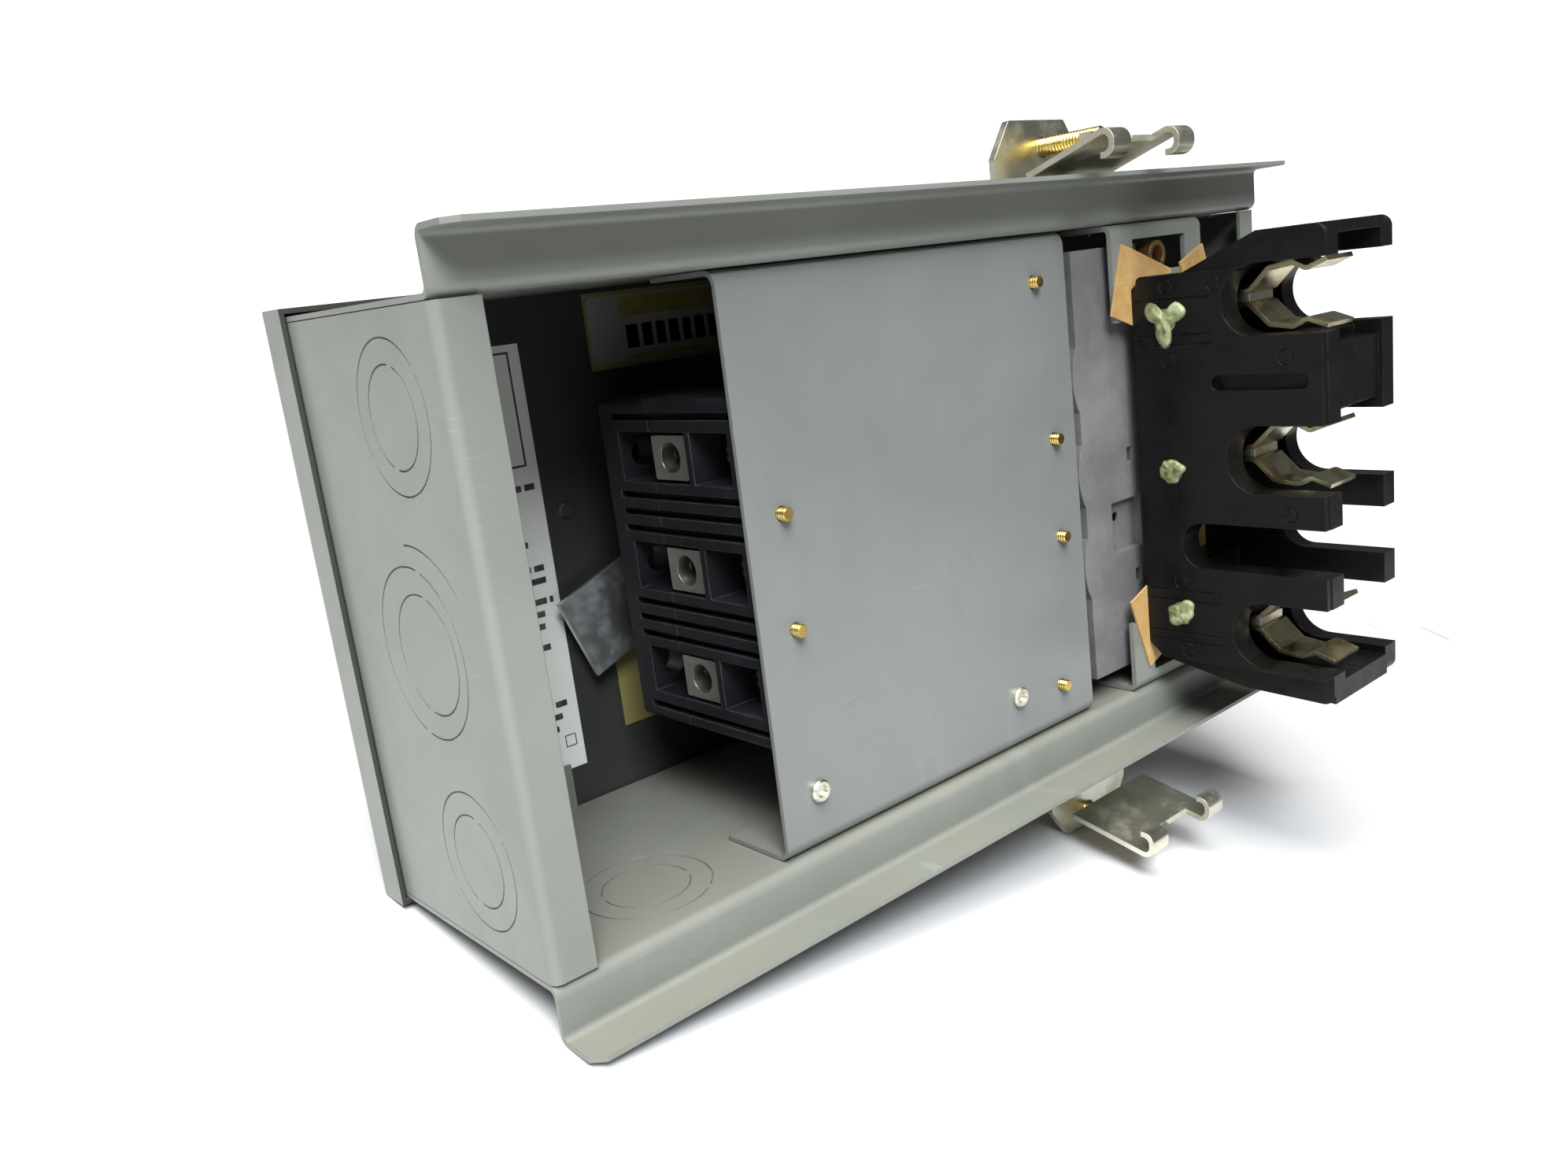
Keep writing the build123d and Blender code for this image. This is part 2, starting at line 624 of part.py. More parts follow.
def breaker_cover():
    """Upper moulding with a raised middle, toggle slot and wiring pockets."""
    bottom = BREAKER_Y[1] + PART_GAP
    body = block(BREAKER_X, (bottom, BREAKER_STEP_Y), (-BREAKER_HALF, BREAKER_HALF))
    body = body + block(BREAKER_RAISED_X, (BREAKER_STEP_Y - 1, BREAKER_FACE_Y), (-BREAKER_HALF, BREAKER_HALF))
    body = fillet(body.edges().filter_by(Axis.Y), 2.0)
    cavity = block((-60, 30), (bottom - 1, 70), (-46, 46))
    cavity = cavity + block((-56, 18), (69, 76), (-44, 44))
    toggle_slot = block(around(TOGGLE_X, 15), (70, 82), (-8, 8))
    pockets = pole_blocks((-96, -77), (bottom - 1, 63), POCKET_HALF)
    screw_ways = [rod((LUG_SCREW_X, 60, z), (0, 1, 0), 20, 4.5) for z in POLES]
    trip_way = rod((TRIP_X, 70, TRIP_Z), (0, 1, 0), 20, TRIP_RADIUS + 0.3)
    body = body - cavity - toggle_slot - pockets - screw_ways - trip_way
    body = body - end_grooves(BREAKER_X[0], (40, 66)) - end_grooves(BREAKER_X[1], (40, 66))
    for x in MOUNT_SCREW_X:
        heads = [rod((x, BREAKER_STEP_Y - 3, z), (0, 1, 0), 10, 3.9) for z in around(0, MOUNT_SCREW_Z)]
        body = body - heads
    return body - mount_screw_holes((40, 90), SCREW_RADIUS + 0.25)


def breaker_toggle():
    """Toggle lever, at rest over to the load side, its pivot boss inside."""
    lever = block((-4.5, 4.5), (0, 29.5), (-6.5, 6.5))
    tip_edges = lever.faces().sort_by(Axis.Y)[-1].edges()
    lever = fillet(tip_edges, 2.5)
    apron = rod((0, 0, -9.5), (0, 0, 1), 19, 12.5) - rod((0, 0, -10), (0, 0, 1), 20, 10.0)
    apron = apron & block((-11, 11), (4, 13), (-10, 10))
    boss = rod((0, 0, -14), (0, 0, 1), 28, 5.5)
    pivot = rod((0, 0, -20), (0, 0, 1), 40, 2.0)
    return Pos(TOGGLE_X, TOGGLE_Y, 0) * Rot(0, 0, TOGGLE_TILT) * (lever + apron + boss + pivot)


def mechanism_frame():
    """Two steel side plates that carry the toggle and crossbar pivots."""
    plates = []
    for side in (-1, 1):
        z = around(side * 16.2, 0.8)
        plate = block((-42, 4), (47, 68.5), z)
        plates.append(plate - rod((TOGGLE_X, TOGGLE_Y, -25), (0, 0, 1), 50, 2.08))
    return Compound(children=plates)


def trip_button():
    stem = rod((TRIP_X, 72.0, TRIP_Z), (0, 1, 0), BREAKER_FACE_Y + 0.8 - 72.0, TRIP_RADIUS)
    collar = rod((TRIP_X, 71.4, TRIP_Z), (0, 1, 0), 1.6, TRIP_RADIUS + 1.6)
    return stem + collar


def trip_bar():
    """Bar across the poles; the button or a bimetal turns it to trip."""
    bar = rod((-50, 58, -44), (0, 0, 1), 88, 3.0)
    pads = pole_blocks((-53.5, -51), (47.5, 58), 4.0)
    return bar + pads


def crossbar():
    """Insulating bar that swings all three contact arms together."""
    return rod((CROSSBAR_X, CROSSBAR_Y, -45.5), (0, 0, 1), 91, CROSSBAR_RADIUS)


def contact_arms():
    """Copper arms on the crossbar, open at rest, with silver-faced tips."""
    arms = []
    for z in POLES:
        arm = block((CROSSBAR_RADIUS - 1.0, 50), (-2.5, 2.0), around(0, 4.5))
        tip = block((42, 50), (-5.0, -2.0), around(0, 4.0))
        arm = Rot(0, 0, CONTACT_OPEN) * (arm + tip)
        arm = Pos(CROSSBAR_X, CROSSBAR_Y, z) * arm
        arms.append(arm - rod((CROSSBAR_X, CROSSBAR_Y, z - 6), (0, 0, 1), 12, CROSSBAR_RADIUS))
    return Compound(children=arms)


def fixed_contacts():
    pieces = []
    for z in POLES:
        bar = block((8, 56), (24.0, 27.2), around(z, 6.0))
        pad = block((10, 22), (27.1, 28.7), around(z, 4.5))
        pieces.append(bar + pad)
    return Compound(children=pieces)


def arc_chutes():
    """Three stacks of notched steel plates beside the contact tips."""
    plates = []
    for z in POLES:
        for level in range(5):
            y = 33.0 + 2.4 * level
            plate = block((23.5, 31), (y, y + 1.0), around(z, 11.0))
            plates.append(plate)
    return Compound(children=plates)


def bimetal_strips():
    """Load-side conductors that carry the bending strips of the trip unit."""
    strips = []
    for z in POLES:
        foot = block((-77.5, -54), (30.5, 33.0), around(z, 4.5))
        blade = block((-56, -54), (32.9, 46.5), around(z, 3.5))
        strips.append(foot + blade)
    return Compound(children=strips)


def load_lugs():
    """Tin-plated wire lugs in the end pockets, bored from the end."""
    lugs = []
    for z in POLES:
        body = block(LUG_X, LUG_Y, around(z, LUG_HALF))
        body = chamfer(body.edges().filter_by(Axis.X), 0.5)
        body = body - rod((LUG_X[0] - 1, LUG_BORE_Y, z), (1, 0, 0), 20, LUG_BORE_RADIUS)
        body = body - rod((LUG_SCREW_X, LUG_BORE_Y, z), (0, 1, 0), 12, LUG_SCREW_RADIUS + 0.05)
        lugs.append(body)
    return Compound(children=lugs)


def lug_screw(z):
    """Socket set screw that presses the wire in its lug."""
    start = LUG_BORE_Y + LUG_BORE_RADIUS + 0.2
    screw = threaded((LUG_SCREW_X, start, z), (0, 1, 0), 10.0, LUG_SCREW_RADIUS, 1.25)
    return screw - hexagon((LUG_SCREW_X, start + 7, z), (0, 1, 0), 4, 3.2)


def terminal_screws():
    """Brass binding screws in the lower pockets of the load end."""
    screws = []
    for z in POLES:
        head = rod((-85.5, 17, z), (1, 0, 0), 3.0, 5.2)
        head = chamfer(head.edges().sort_by(Axis.X)[0], 0.8)
        shank = rod((-83, 17, z), (1, 0, 0), 2.0, 2.4)
        slot = block((-86, -84.4), (11, 23), around(z, 0.6))
        screws.append(head + shank - slot)
    return Compound(children=screws)


# -------------------------------------------------------------- busway jaw end
def line_shield():
    """Grey moulded cover over the line terminals, lobed beside each pole."""
    lobe_radius = 24.0
    lobe_rise = 3.0
    front = (SHIELD_Y, SHIELD_Y + SHIELD_WALL)
    plate = block(SHIELD_X, front, SHIELD_Z)
    side = block((SHIELD_X[0], SHIELD_X[0] + SHIELD_WALL), (SHIELD_Y, SHIELD_Y + SHIELD_DEPTH), SHIELD_Z)
    shield = plate + side
    keep = block((SHIELD_X[0] - 5, SHIELD_X[0] + 2), (SHIELD_Y, SHIELD_Y + SHIELD_DEPTH), SHIELD_Z)
    for z in POLES:
        x = SHIELD_X[0] - lobe_rise + lobe_radius
        lobe = rod((x, SHIELD_Y, z), (0, 1, 0), SHIELD_DEPTH, lobe_radius)
        shield = shield + (lobe & keep)
    cap_middles = (SHIELD_Z[0] + 2, SHIELD_Z[1] - 2)
    caps = [block(SHIELD_X, (SHIELD_Y, SHIELD_Y + 26), around(z, 2)) for z in cap_middles]
    shield = shield + caps
    way_y = (STRAP_Y - 2, STRAP_Y + STRAP_SHEET + 2)
    strap_ways = pole_blocks((SHIELD_X[0] - 6, SHIELD_X[0] + 8), way_y, STRAP_HALF + 2)
    front_y = (SHIELD_Y - 1, SHIELD_Y + 6)
    holes = [block(around(x, 1.8), front_y, around(z, 2.6)) for x, z in [(93.0, 3.5), (94.5, -44.0)]]
    recess = block((79.5, 98), (SHIELD_Y - 1, SHIELD_Y + 3.0), (-32.8, -13.2))
    peep = rod((85.5, SHIELD_Y, -19.5), (0, 1, 0), 6, 1.9)
    return shield - strap_ways - holes - recess - peep


def jaw_support_bracket():
    """Steel bridge between the side walls that carries the jaw base."""
    edge = HALF_W - SHEET - FIT
    line = [(BRACKET_FOOT, -edge), (0, -edge), (0, edge), (BRACKET_FOOT, edge)]
    bracket = bent_sheet(line, -BRACKET_SHEET, 1.5, BRACKET_X)
    bracket = bracket - block((102, 124), (-1, 4), (-70, 66))
    bracket = bracket - block((BRACKET_X[0] - 1, 95), (-1, 3), (-60, 53))
    for side in (-1, 1):
        window = block((94, 128), (-1, 4), around(side * 75.5, 6.0))
        bracket = bracket - window
    holes = rivet_holes(1.6)
    return bracket - holes - [flipped(hole) for hole in holes]


def bracket_bushings():
    """Brass spacers seen through the bracket's end windows."""
    pieces = []
    for side in (-1, 1):
        tube = rod((110, 0.3, side * 75.0), (0, 1, 0), 14, 5.3)
        pieces.append(tube - rod((110, -1, side * 75.0), (0, 1, 0), 20, 3.5))
    return Compound(children=pieces)


def insulating_sheet():
    """Fibre sheet between jaw base and bracket; its corners stand out."""
    y = (-PAPER - 0.1, -0.1)
    sheet = block((93, 139), y, (-66, 66))
    corners = [(93, 62.0, 20.0, (-12.5, 20), (-11, 15)), (93, -62.0, -20.0, (-9, 20), (-15, 15))]
    corners.append((139, 62.0, -20.0, (-12, 5), (-15, 14)))
    for x, z, angle, wide, high in corners:
        sheet = sheet + Pos(x, y[0], z) * Rot(0, angle, 0) * block(wide, (0, PAPER), high)
    neutral = block((80, 117), (-5, 5), (-47, -12))
    return sheet - block((101.5, 124.5), (-5, 5), (-64, 63)) - neutral


def slot_cut(z, half, end_y, x):
    """A slot that opens at the prong tips and ends in a half round."""
    straight = block(x, (JAW_TIP_Y - 20, end_y - half), around(z, half))
    round_end = rod((x[0], end_y - half, z), (1, 0, 0), x[1] - x[0], half)
    return straight + round_end


def jaw_half_plate(x, shoulder):
    """One side plate of the jaw base, with its jaw and neutral slots."""
    outline = [
        (JAW_ROOT_Y, -69),
        (-8, -76),
        (-39, -82.5),
        (JAW_TIP_Y, -84),
        (JAW_TIP_Y, 79.5),
        (shoulder[1], 79.5),
        (shoulder[0], 68),
        (JAW_ROOT_Y, 68),
    ]
    plate = yz_plate(outline, x, [1.5, 4, 8, 4, 4, 6, 4, 2])
    for z in JAW_Z.values():
        plate = plate - slot_cut(z, SLOT_HALF, -36.0, (x[0] - 1, x[1] + 1))
    return plate


def jaw_cross_walls(x):
    """Walls between the side plates: outer arms, the blank, short webs."""
    slope = [(-47.5, 79.5), (-47.5, 69.5), (-19, 60), (-19, 68)]
    walls = block(x, (JAW_TIP_Y, -47), (69.5, 79.5)) + yz_plate(slope, x)
    walls = walls - block(x, (JAW_TIP_Y - 1, -58), (69, 75.7))
    foot = [(JAW_TIP_Y, -83.5), (-39, -82.0), (-10, -76), (-10, -70), (-39, -75.5), (JAW_TIP_Y, -76)]
    walls = walls + yz_plate(foot, x)
    walls = walls + block(x, (-62, -20), (15.5, 20.0)) + block(x, (-62, -20), (38.5, 43.5))
    walls = walls + block(x, (JAW_TIP_Y + 1.5, -60), (18.5, 40.0))
    for z in ((-19.5, -12.5), (-48.5, -40.0)):
        walls = walls + block(x, (-15, JAW_ROOT_Y), z)
    return walls


def jaw_screw_spots():
    """Clamping screws of the jaw base, as Y and Z, under the sealant."""
    return [(-14.0, 52.0), (-14.0, -2.0), (-15.5, -56.0)]


def pad_marks():
    """Shallow ejector rings and moulded lines on the near face."""
    left = JAW_BASE_X[0]
    spots = [(-15, 64), (-33.6, 64), (-15, 38), (-58.8, 37.7), (-16, -44), (-17.5, -70), (-59, -16)]
    marks = [ring((left, y, z), (1, 0, 0), 2.5, 0.35) for y, z in spots]
    for z in (59.5, 47.0, 43.5, -47.0, -51.0, -63.5, -67.0):
        marks.append(block((left - 1, left + 0.4), (-32, -2), around(z, 0.35)))
    return marks


def jaw_base_near():
    """Half of the jaw base that faces the knockout end."""
    left = JAW_BASE_X[0]
    middle = sum(JAW_BASE_X) / 2 - 0.1
    plate = jaw_half_plate((left + JAW_PAD, left + JAW_PAD + JAW_WALL), (-38, -56))
    walls = jaw_cross_walls((left + JAW_PAD + 1, middle))
    tip = JAW_TIP_Y + 0.4
    pad_outline = [(JAW_ROOT_Y, -69), (-7, -74.5), (tip, -74.5), (tip, 68), (-6, 68), (JAW_ROOT_Y, 64)]
    pad = yz_plate(pad_outline, (left, left + JAW_PAD + 1), [1, 3, 2, 2, 2, 1])
    half = plate + walls + pad
    for z in JAW_Z.values():
        half = half - slot_cut(z, SLOT_HALF, -36.0, (left - 1, left + 12))
    half = half - slot_cut(NEUTRAL_Z, NEUTRAL_HALF, -17.0, (left - 1, middle + 1))
    groove = block((left - 1, left + 3.6), (-64, -34), around(29.5, 2.7))
    grooves = [groove] + [rod((left - 1, y, 29.5), (1, 0, 0), 4.6, 2.7) for y in (-64, -34)]
    half = half - grooves - pad_marks()
    for y, z in jaw_screw_spots():
        half = half - rod((left - 1, y, z), (1, 0, 0), 60, 2.2)
        half = half - rod((left - 1, y, z), (1, 0, 0), 2.4, 4.6)
    return half - jaw_strap_ways()


def jaw_base_far():
    """Half of the jaw base that faces the jaw end wall."""
    right = JAW_BASE_X[1]
    middle = sum(JAW_BASE_X) / 2 + 0.1
    half = jaw_half_plate((right - JAW_WALL, right), (-19, -47))
    half = half + jaw_cross_walls((middle, right - JAW_WALL + 1))
    half = half - slot_cut(NEUTRAL_Z, NEUTRAL_HALF, -34.0, (middle - 1, right + 1))
    for y, z in jaw_screw_spots():
        half = half - rod((middle - 1, y, z), (1, 0, 0), 60, 2.2)
    return half - jaw_strap_ways()


def jaw_strap_ways():
    """Passages through the root of the base for the copper straps."""
    x = (STRAP_LEG_X[0] - 0.5, STRAP_LEG_X[1] + 0.5)
    return [block(x, (-46, 2), around(z, STRAP_SHEET / 2 + 0.5)) for z in JAW_Z.values()]


def jaw_base_screws():
    screws = []
    left, right = JAW_BASE_X
    for y, z in jaw_screw_spots():
        shank = rod((left + 1.2, y, z), (1, 0, 0), right - left - 1.2, 2.0)
        head = rod((left + 0.2, y, z), (1, 0, 0), 1.2, 4.3)
        nut = hexagon((right, y, z), (1, 0, 0), 3.2, 8.0)
        screws.append(shank + head + nut)
    return Compound(children=screws)


def sealant_blobs():
    """Beads of sealant over the heads of the jaw base screws."""
    blobs = []
    left = JAW_BASE_X[0]
    for y, z in jaw_screw_spots():
        dome = Pos(left + 5.2, y, z) * Sphere(7.4)
        blobs.append(dome & block((left - 5, left), (y - 9, y + 9), (z - 9, z + 9)))
    return Compound(children=blobs)


def jaw_finger(direction):
    """One plated spring finger, its line drawn from the root to the tip."""
    start = STRAP_SHEET / 2 + 0.02
    line = [
        (-35.0, start),
        (-39.0, start),
        (-46.5, 8.8),
        (-54.5, 9.9),
        (-59.5, 7.4),
        (-67.0, 10.2),
    ]
    finger = bent_sheet(line, -FINGER_SHEET, 1.2, FINGER_X)
    if direction < 0:
        finger = flipped(finger)
    return finger


def jaw_fingers(z):
    pair = [Pos(0, 0, z) * jaw_finger(direction) for direction in (1, -1)]
    return Compound(children=pair)


def line_straps():
    """Copper straps from the breaker's line side to each jaw."""
    straps = []
    y = (STRAP_Y, STRAP_Y + STRAP_SHEET)
    for pole, jaw in zip(POLES, JAW_Z.values()):
        run = block((42, STRAP_LEG_X[1]), y, around(pole, STRAP_HALF))
        low = min(pole - STRAP_HALF, jaw - STRAP_SHEET / 2)
        high = max(pole + STRAP_HALF, jaw + STRAP_SHEET / 2)
        jog = block(STRAP_LEG_X, y, (low, high))
        leg = block(STRAP_LEG_X, (-38.5, STRAP_Y + 1), around(jaw, STRAP_SHEET / 2))
        straps.append(run + jog + leg)
    return Compound(children=straps)


# --------------------------------------------------------------- hook clamps
def hook_bracket(top, hole_z, shift):
    """Angle on the upper side wall; its plate holds the clamp screw."""
    low_x, high_x = [x + shift for x in BRACKET_PLATE_X]
    outline = [
        (low_x, HALF_W),
        (high_x, HALF_W),
        (high_x, top - 11.5),
        (high_x - 8.0, top),
        (low_x + 8.5, top),
        (low_x, top - 12.0),
    ]
    face = make_face(FilletPolyline(*outline, radius=[0.0, 0.0, 1.5, 1.5, 1.5, 1.5], close=True))
    plate = extrude(Plane.XZ.offset(-HOOK_PLATE_Y) * face, -BRACKET_PLATE_SHEET)
    foot_y = (HOOK_PLATE_Y, HOOK_PLATE_Y + HOOK_FOOT)
    bracket = plate + block((low_x, high_x), foot_y, (HALF_W, HALF_W + BRACKET_PLATE_SHEET))
    return bracket - rod((HOOK_SCREW_X, 0, hole_z), (0, 1, 0), 30, HOOK_SCREW_RADIUS + 0.3)


def hook_brackets():
    upper = hook_bracket(UPPER_BRACKET_TOP, UPPER_SCREW_Z, 0.0)
    lower = hook_bracket(LOWER_BRACKET_TOP, LOWER_SCREW_Z, LOWER_BRACKET_SHIFT)
    return Compound(children=[upper, flipped(lower)])


def hook_plate(z, screw_z):
    """Clamp hook: slanted plate, two rolled fingers and an open-topped nut."""
    root_z, tip_z = z
    curl_z = tip_z - 10.7
    front, back = HOOK_FRONT_Y, HOOK_BACK_Y
    corners = [(back, root_z), (front, tip_z), (front, curl_z), (front + 5.3, curl_z)]
    hook = bent_sheet(corners, HOOK_SHEET, 2.25, HOOK_X)
    gap_x = (HOOK_X[0] + HOOK_FINGER, HOOK_X[1] - HOOK_FINGER)
    hook = hook - block(gap_x, (-60, -22.0), (90, 150))
    nut_middle = (back - sum(HOOK_NUT_Y) / 2) / (back - front)
    nut_z = root_z + (tip_z - root_z) * nut_middle
    nut = block(around(HOOK_SCREW_X, 5.6), HOOK_NUT_Y, (nut_z - 1.0, screw_z + 1.5))
    return hook + nut - rod((HOOK_SCREW_X, -60, screw_z), (0, 1, 0), 80, HOOK_SCREW_RADIUS + 0.1)


def hook_screw(z):
    """Clamp screw: hex head behind the bracket, thread towards the busway."""
    head_y = HOOK_PLATE_Y + BRACKET_PLATE_SHEET + 0.2
    length = head_y - HOOK_SCREW_TIP
    tip = (HOOK_SCREW_X, HOOK_SCREW_TIP, z)
    shank = threaded(tip, (0, 1, 0), length, HOOK_SCREW_RADIUS, HOOK_PITCH)
    return shank + hexagon((HOOK_SCREW_X, head_y - 0.05, z), (0, 1, 0), 4.4, 11.0)


PARTS = {
    "upper_side_wall": upper_side_wall(),
    "lower_side_wall": lower_side_wall(),
    "knockout_end_wall": knockout_end_wall(),
    "jaw_end_wall": jaw_end_wall(),
    "front_cover": front_cover(),
    "hinge_fixed_leaves": hinge_fixed_leaves(),
    "hinge_cover_leaves": hinge_cover_leaves(),
    "hinge_pins": hinge_pins(),
    "cover_screw_left": cover_screw(-1),
    "cover_screw_right": cover_screw(1),
    "rivets": rivets(),
    "instruction_label": instruction_label(),
    "upper_sticker": upper_sticker(),
    "lower_sticker": lower_sticker(),
    "operating_handle": operating_handle(),
    "handle_shaft": handle_shaft(),
    "handle_bushing": handle_bushing(),
    "crank_arm": crank_arm(),
    "operator_frame": operator_frame(),
    "operator_yoke": operator_yoke(),
    "operator_screws": operator_screws(),
    "breaker_pan": breaker_pan(),
    "clinch_nuts": clinch_nuts(),
    "pan_screws": pan_screws(),
    "breaker_base": breaker_base(),
    "breaker_cover": breaker_cover(),
    "breaker_toggle": breaker_toggle(),
    "mechanism_frame": mechanism_frame(),
    "trip_button": trip_button(),
    "trip_bar": trip_bar(),
    "crossbar": crossbar(),
    "contact_arms": contact_arms(),
    "fixed_contacts": fixed_contacts(),
    "arc_chutes": arc_chutes(),
    "bimetal_strips": bimetal_strips(),
    "load_lugs": load_lugs(),
    "lug_screw_upper": lug_screw(POLES[0]),
    "lug_screw_middle": lug_screw(POLES[1]),
    "lug_screw_lower": lug_screw(POLES[2]),
    "terminal_screws": terminal_screws(),
    "line_shield": line_shield(),
    "jaw_support_bracket": jaw_support_bracket(),
    "bracket_bushings": bracket_bushings(),
    "insulating_sheet": insulating_sheet(),
    "jaw_base_near": jaw_base_near(),
    "jaw_base_far": jaw_base_far(),
    "jaw_base_screws": jaw_base_screws(),
    "sealant_blobs": sealant_blobs(),
    "jaw_fingers_upper": jaw_fingers(JAW_Z["upper"]),
    "jaw_fingers_middle": jaw_fingers(JAW_Z["middle"]),
    "jaw_fingers_lower": jaw_fingers(JAW_Z["lower"]),
    "line_straps": line_straps(),
    "hook_brackets": hook_brackets(),
    "upper_hook": hook_plate(UPPER_HOOK_Z, UPPER_SCREW_Z),
    "lower_hook": flipped(hook_plate(LOWER_HOOK_Z, LOWER_SCREW_Z)),
    "upper_hook_screw": hook_screw(UPPER_SCREW_Z),
    "lower_hook_screw": hook_screw(-LOWER_SCREW_Z),
}

for name, shape in PARTS.items():
    export_step(shape, f"parts/{name}.step")
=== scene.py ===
import bpy
import bmesh
import json
import math
import random
from mathutils import Matrix, Vector, noise


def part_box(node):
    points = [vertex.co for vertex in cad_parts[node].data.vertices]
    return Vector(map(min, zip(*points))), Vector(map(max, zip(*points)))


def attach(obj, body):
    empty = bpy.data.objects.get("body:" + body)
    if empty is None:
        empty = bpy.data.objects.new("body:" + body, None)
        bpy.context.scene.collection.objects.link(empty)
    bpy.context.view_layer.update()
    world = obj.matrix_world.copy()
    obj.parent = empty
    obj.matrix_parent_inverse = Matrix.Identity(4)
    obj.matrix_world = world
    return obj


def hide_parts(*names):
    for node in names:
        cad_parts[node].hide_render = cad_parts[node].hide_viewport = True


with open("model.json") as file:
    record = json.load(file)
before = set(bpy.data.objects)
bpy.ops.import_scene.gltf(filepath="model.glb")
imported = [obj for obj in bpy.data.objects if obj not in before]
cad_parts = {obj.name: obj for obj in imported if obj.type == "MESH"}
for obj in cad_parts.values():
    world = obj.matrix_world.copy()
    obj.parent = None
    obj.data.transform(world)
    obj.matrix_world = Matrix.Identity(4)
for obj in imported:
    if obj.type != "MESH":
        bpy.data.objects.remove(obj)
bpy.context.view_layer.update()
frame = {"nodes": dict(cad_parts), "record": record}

NODES = frame["nodes"]
random.seed(7)
MM = 0.001

# ------------------------------------------------------------------ measures
# The printed pieces and the sealant are in millimetres, the stage and the camera
# in metres. Frame: +X to the jaw end, +Y to the cover, +Z up, origin at the centre
# of the open rim.
LABEL_FACE_Y = 102.2
PRINT_SINK = 0.05
PRINT_RISE = 0.06
OVERPRINT_RISE = 0.1
PRINT_Y = (LABEL_FACE_Y - PRINT_RISE, LABEL_FACE_Y + PRINT_SINK)
LABEL_X = (-165.0, -107.0)
LABEL_BOX_Z = (33.0, 70.0)
LABEL_LINE = 0.7
SEALANT_CENTRES = ((-14.0, 52.0), (-14.0, -2.0), (-15.5, -56.0))
SEALANT_REACH = (8.0, 5.8, 6.4)
SEALANT_LOBES = (3, 2, 2)
SEALANT_PHASE = (-math.pi / 2.0, 0.6, 1.0)
SEALANT_LOBE_DEPTH = (0.36, 0.13, 0.16)

# The object rests on two corners and a hook bracket, so the floor is tilted.
UP_FROM_FLOOR = Vector((0.15, -0.1173, 0.9817))
FLOOR_RADIUS = 1.7
FLOOR_FADE = (0.5, 1.5)
FLOOR_GAP = 0.0002
CAMERA_PLACE = (-0.31098, -0.27168, 0.08115)
CAMERA_RIGHT = Vector((0.74820, -0.65243, -0.12056))
CAMERA_DOWN = Vector((-0.24276, -0.10010, -0.96491))
CAMERA_FORWARD = Vector((0.61747, 0.75121, -0.23328))
CAMERA_LENS = 28.877
CAMERA_SENSOR = 36.0
WORLD_COLOR = (0.985, 0.99, 1.0, 1.0)
WORLD_FILL = 0.13
WORLD_SEEN = 1.0
SUN_COLOR = (1.0, 0.985, 0.955)
PANEL_COLOR = (0.92, 0.965, 1.0)
EXPOSURE = 0.25
GAMMA = 0.85


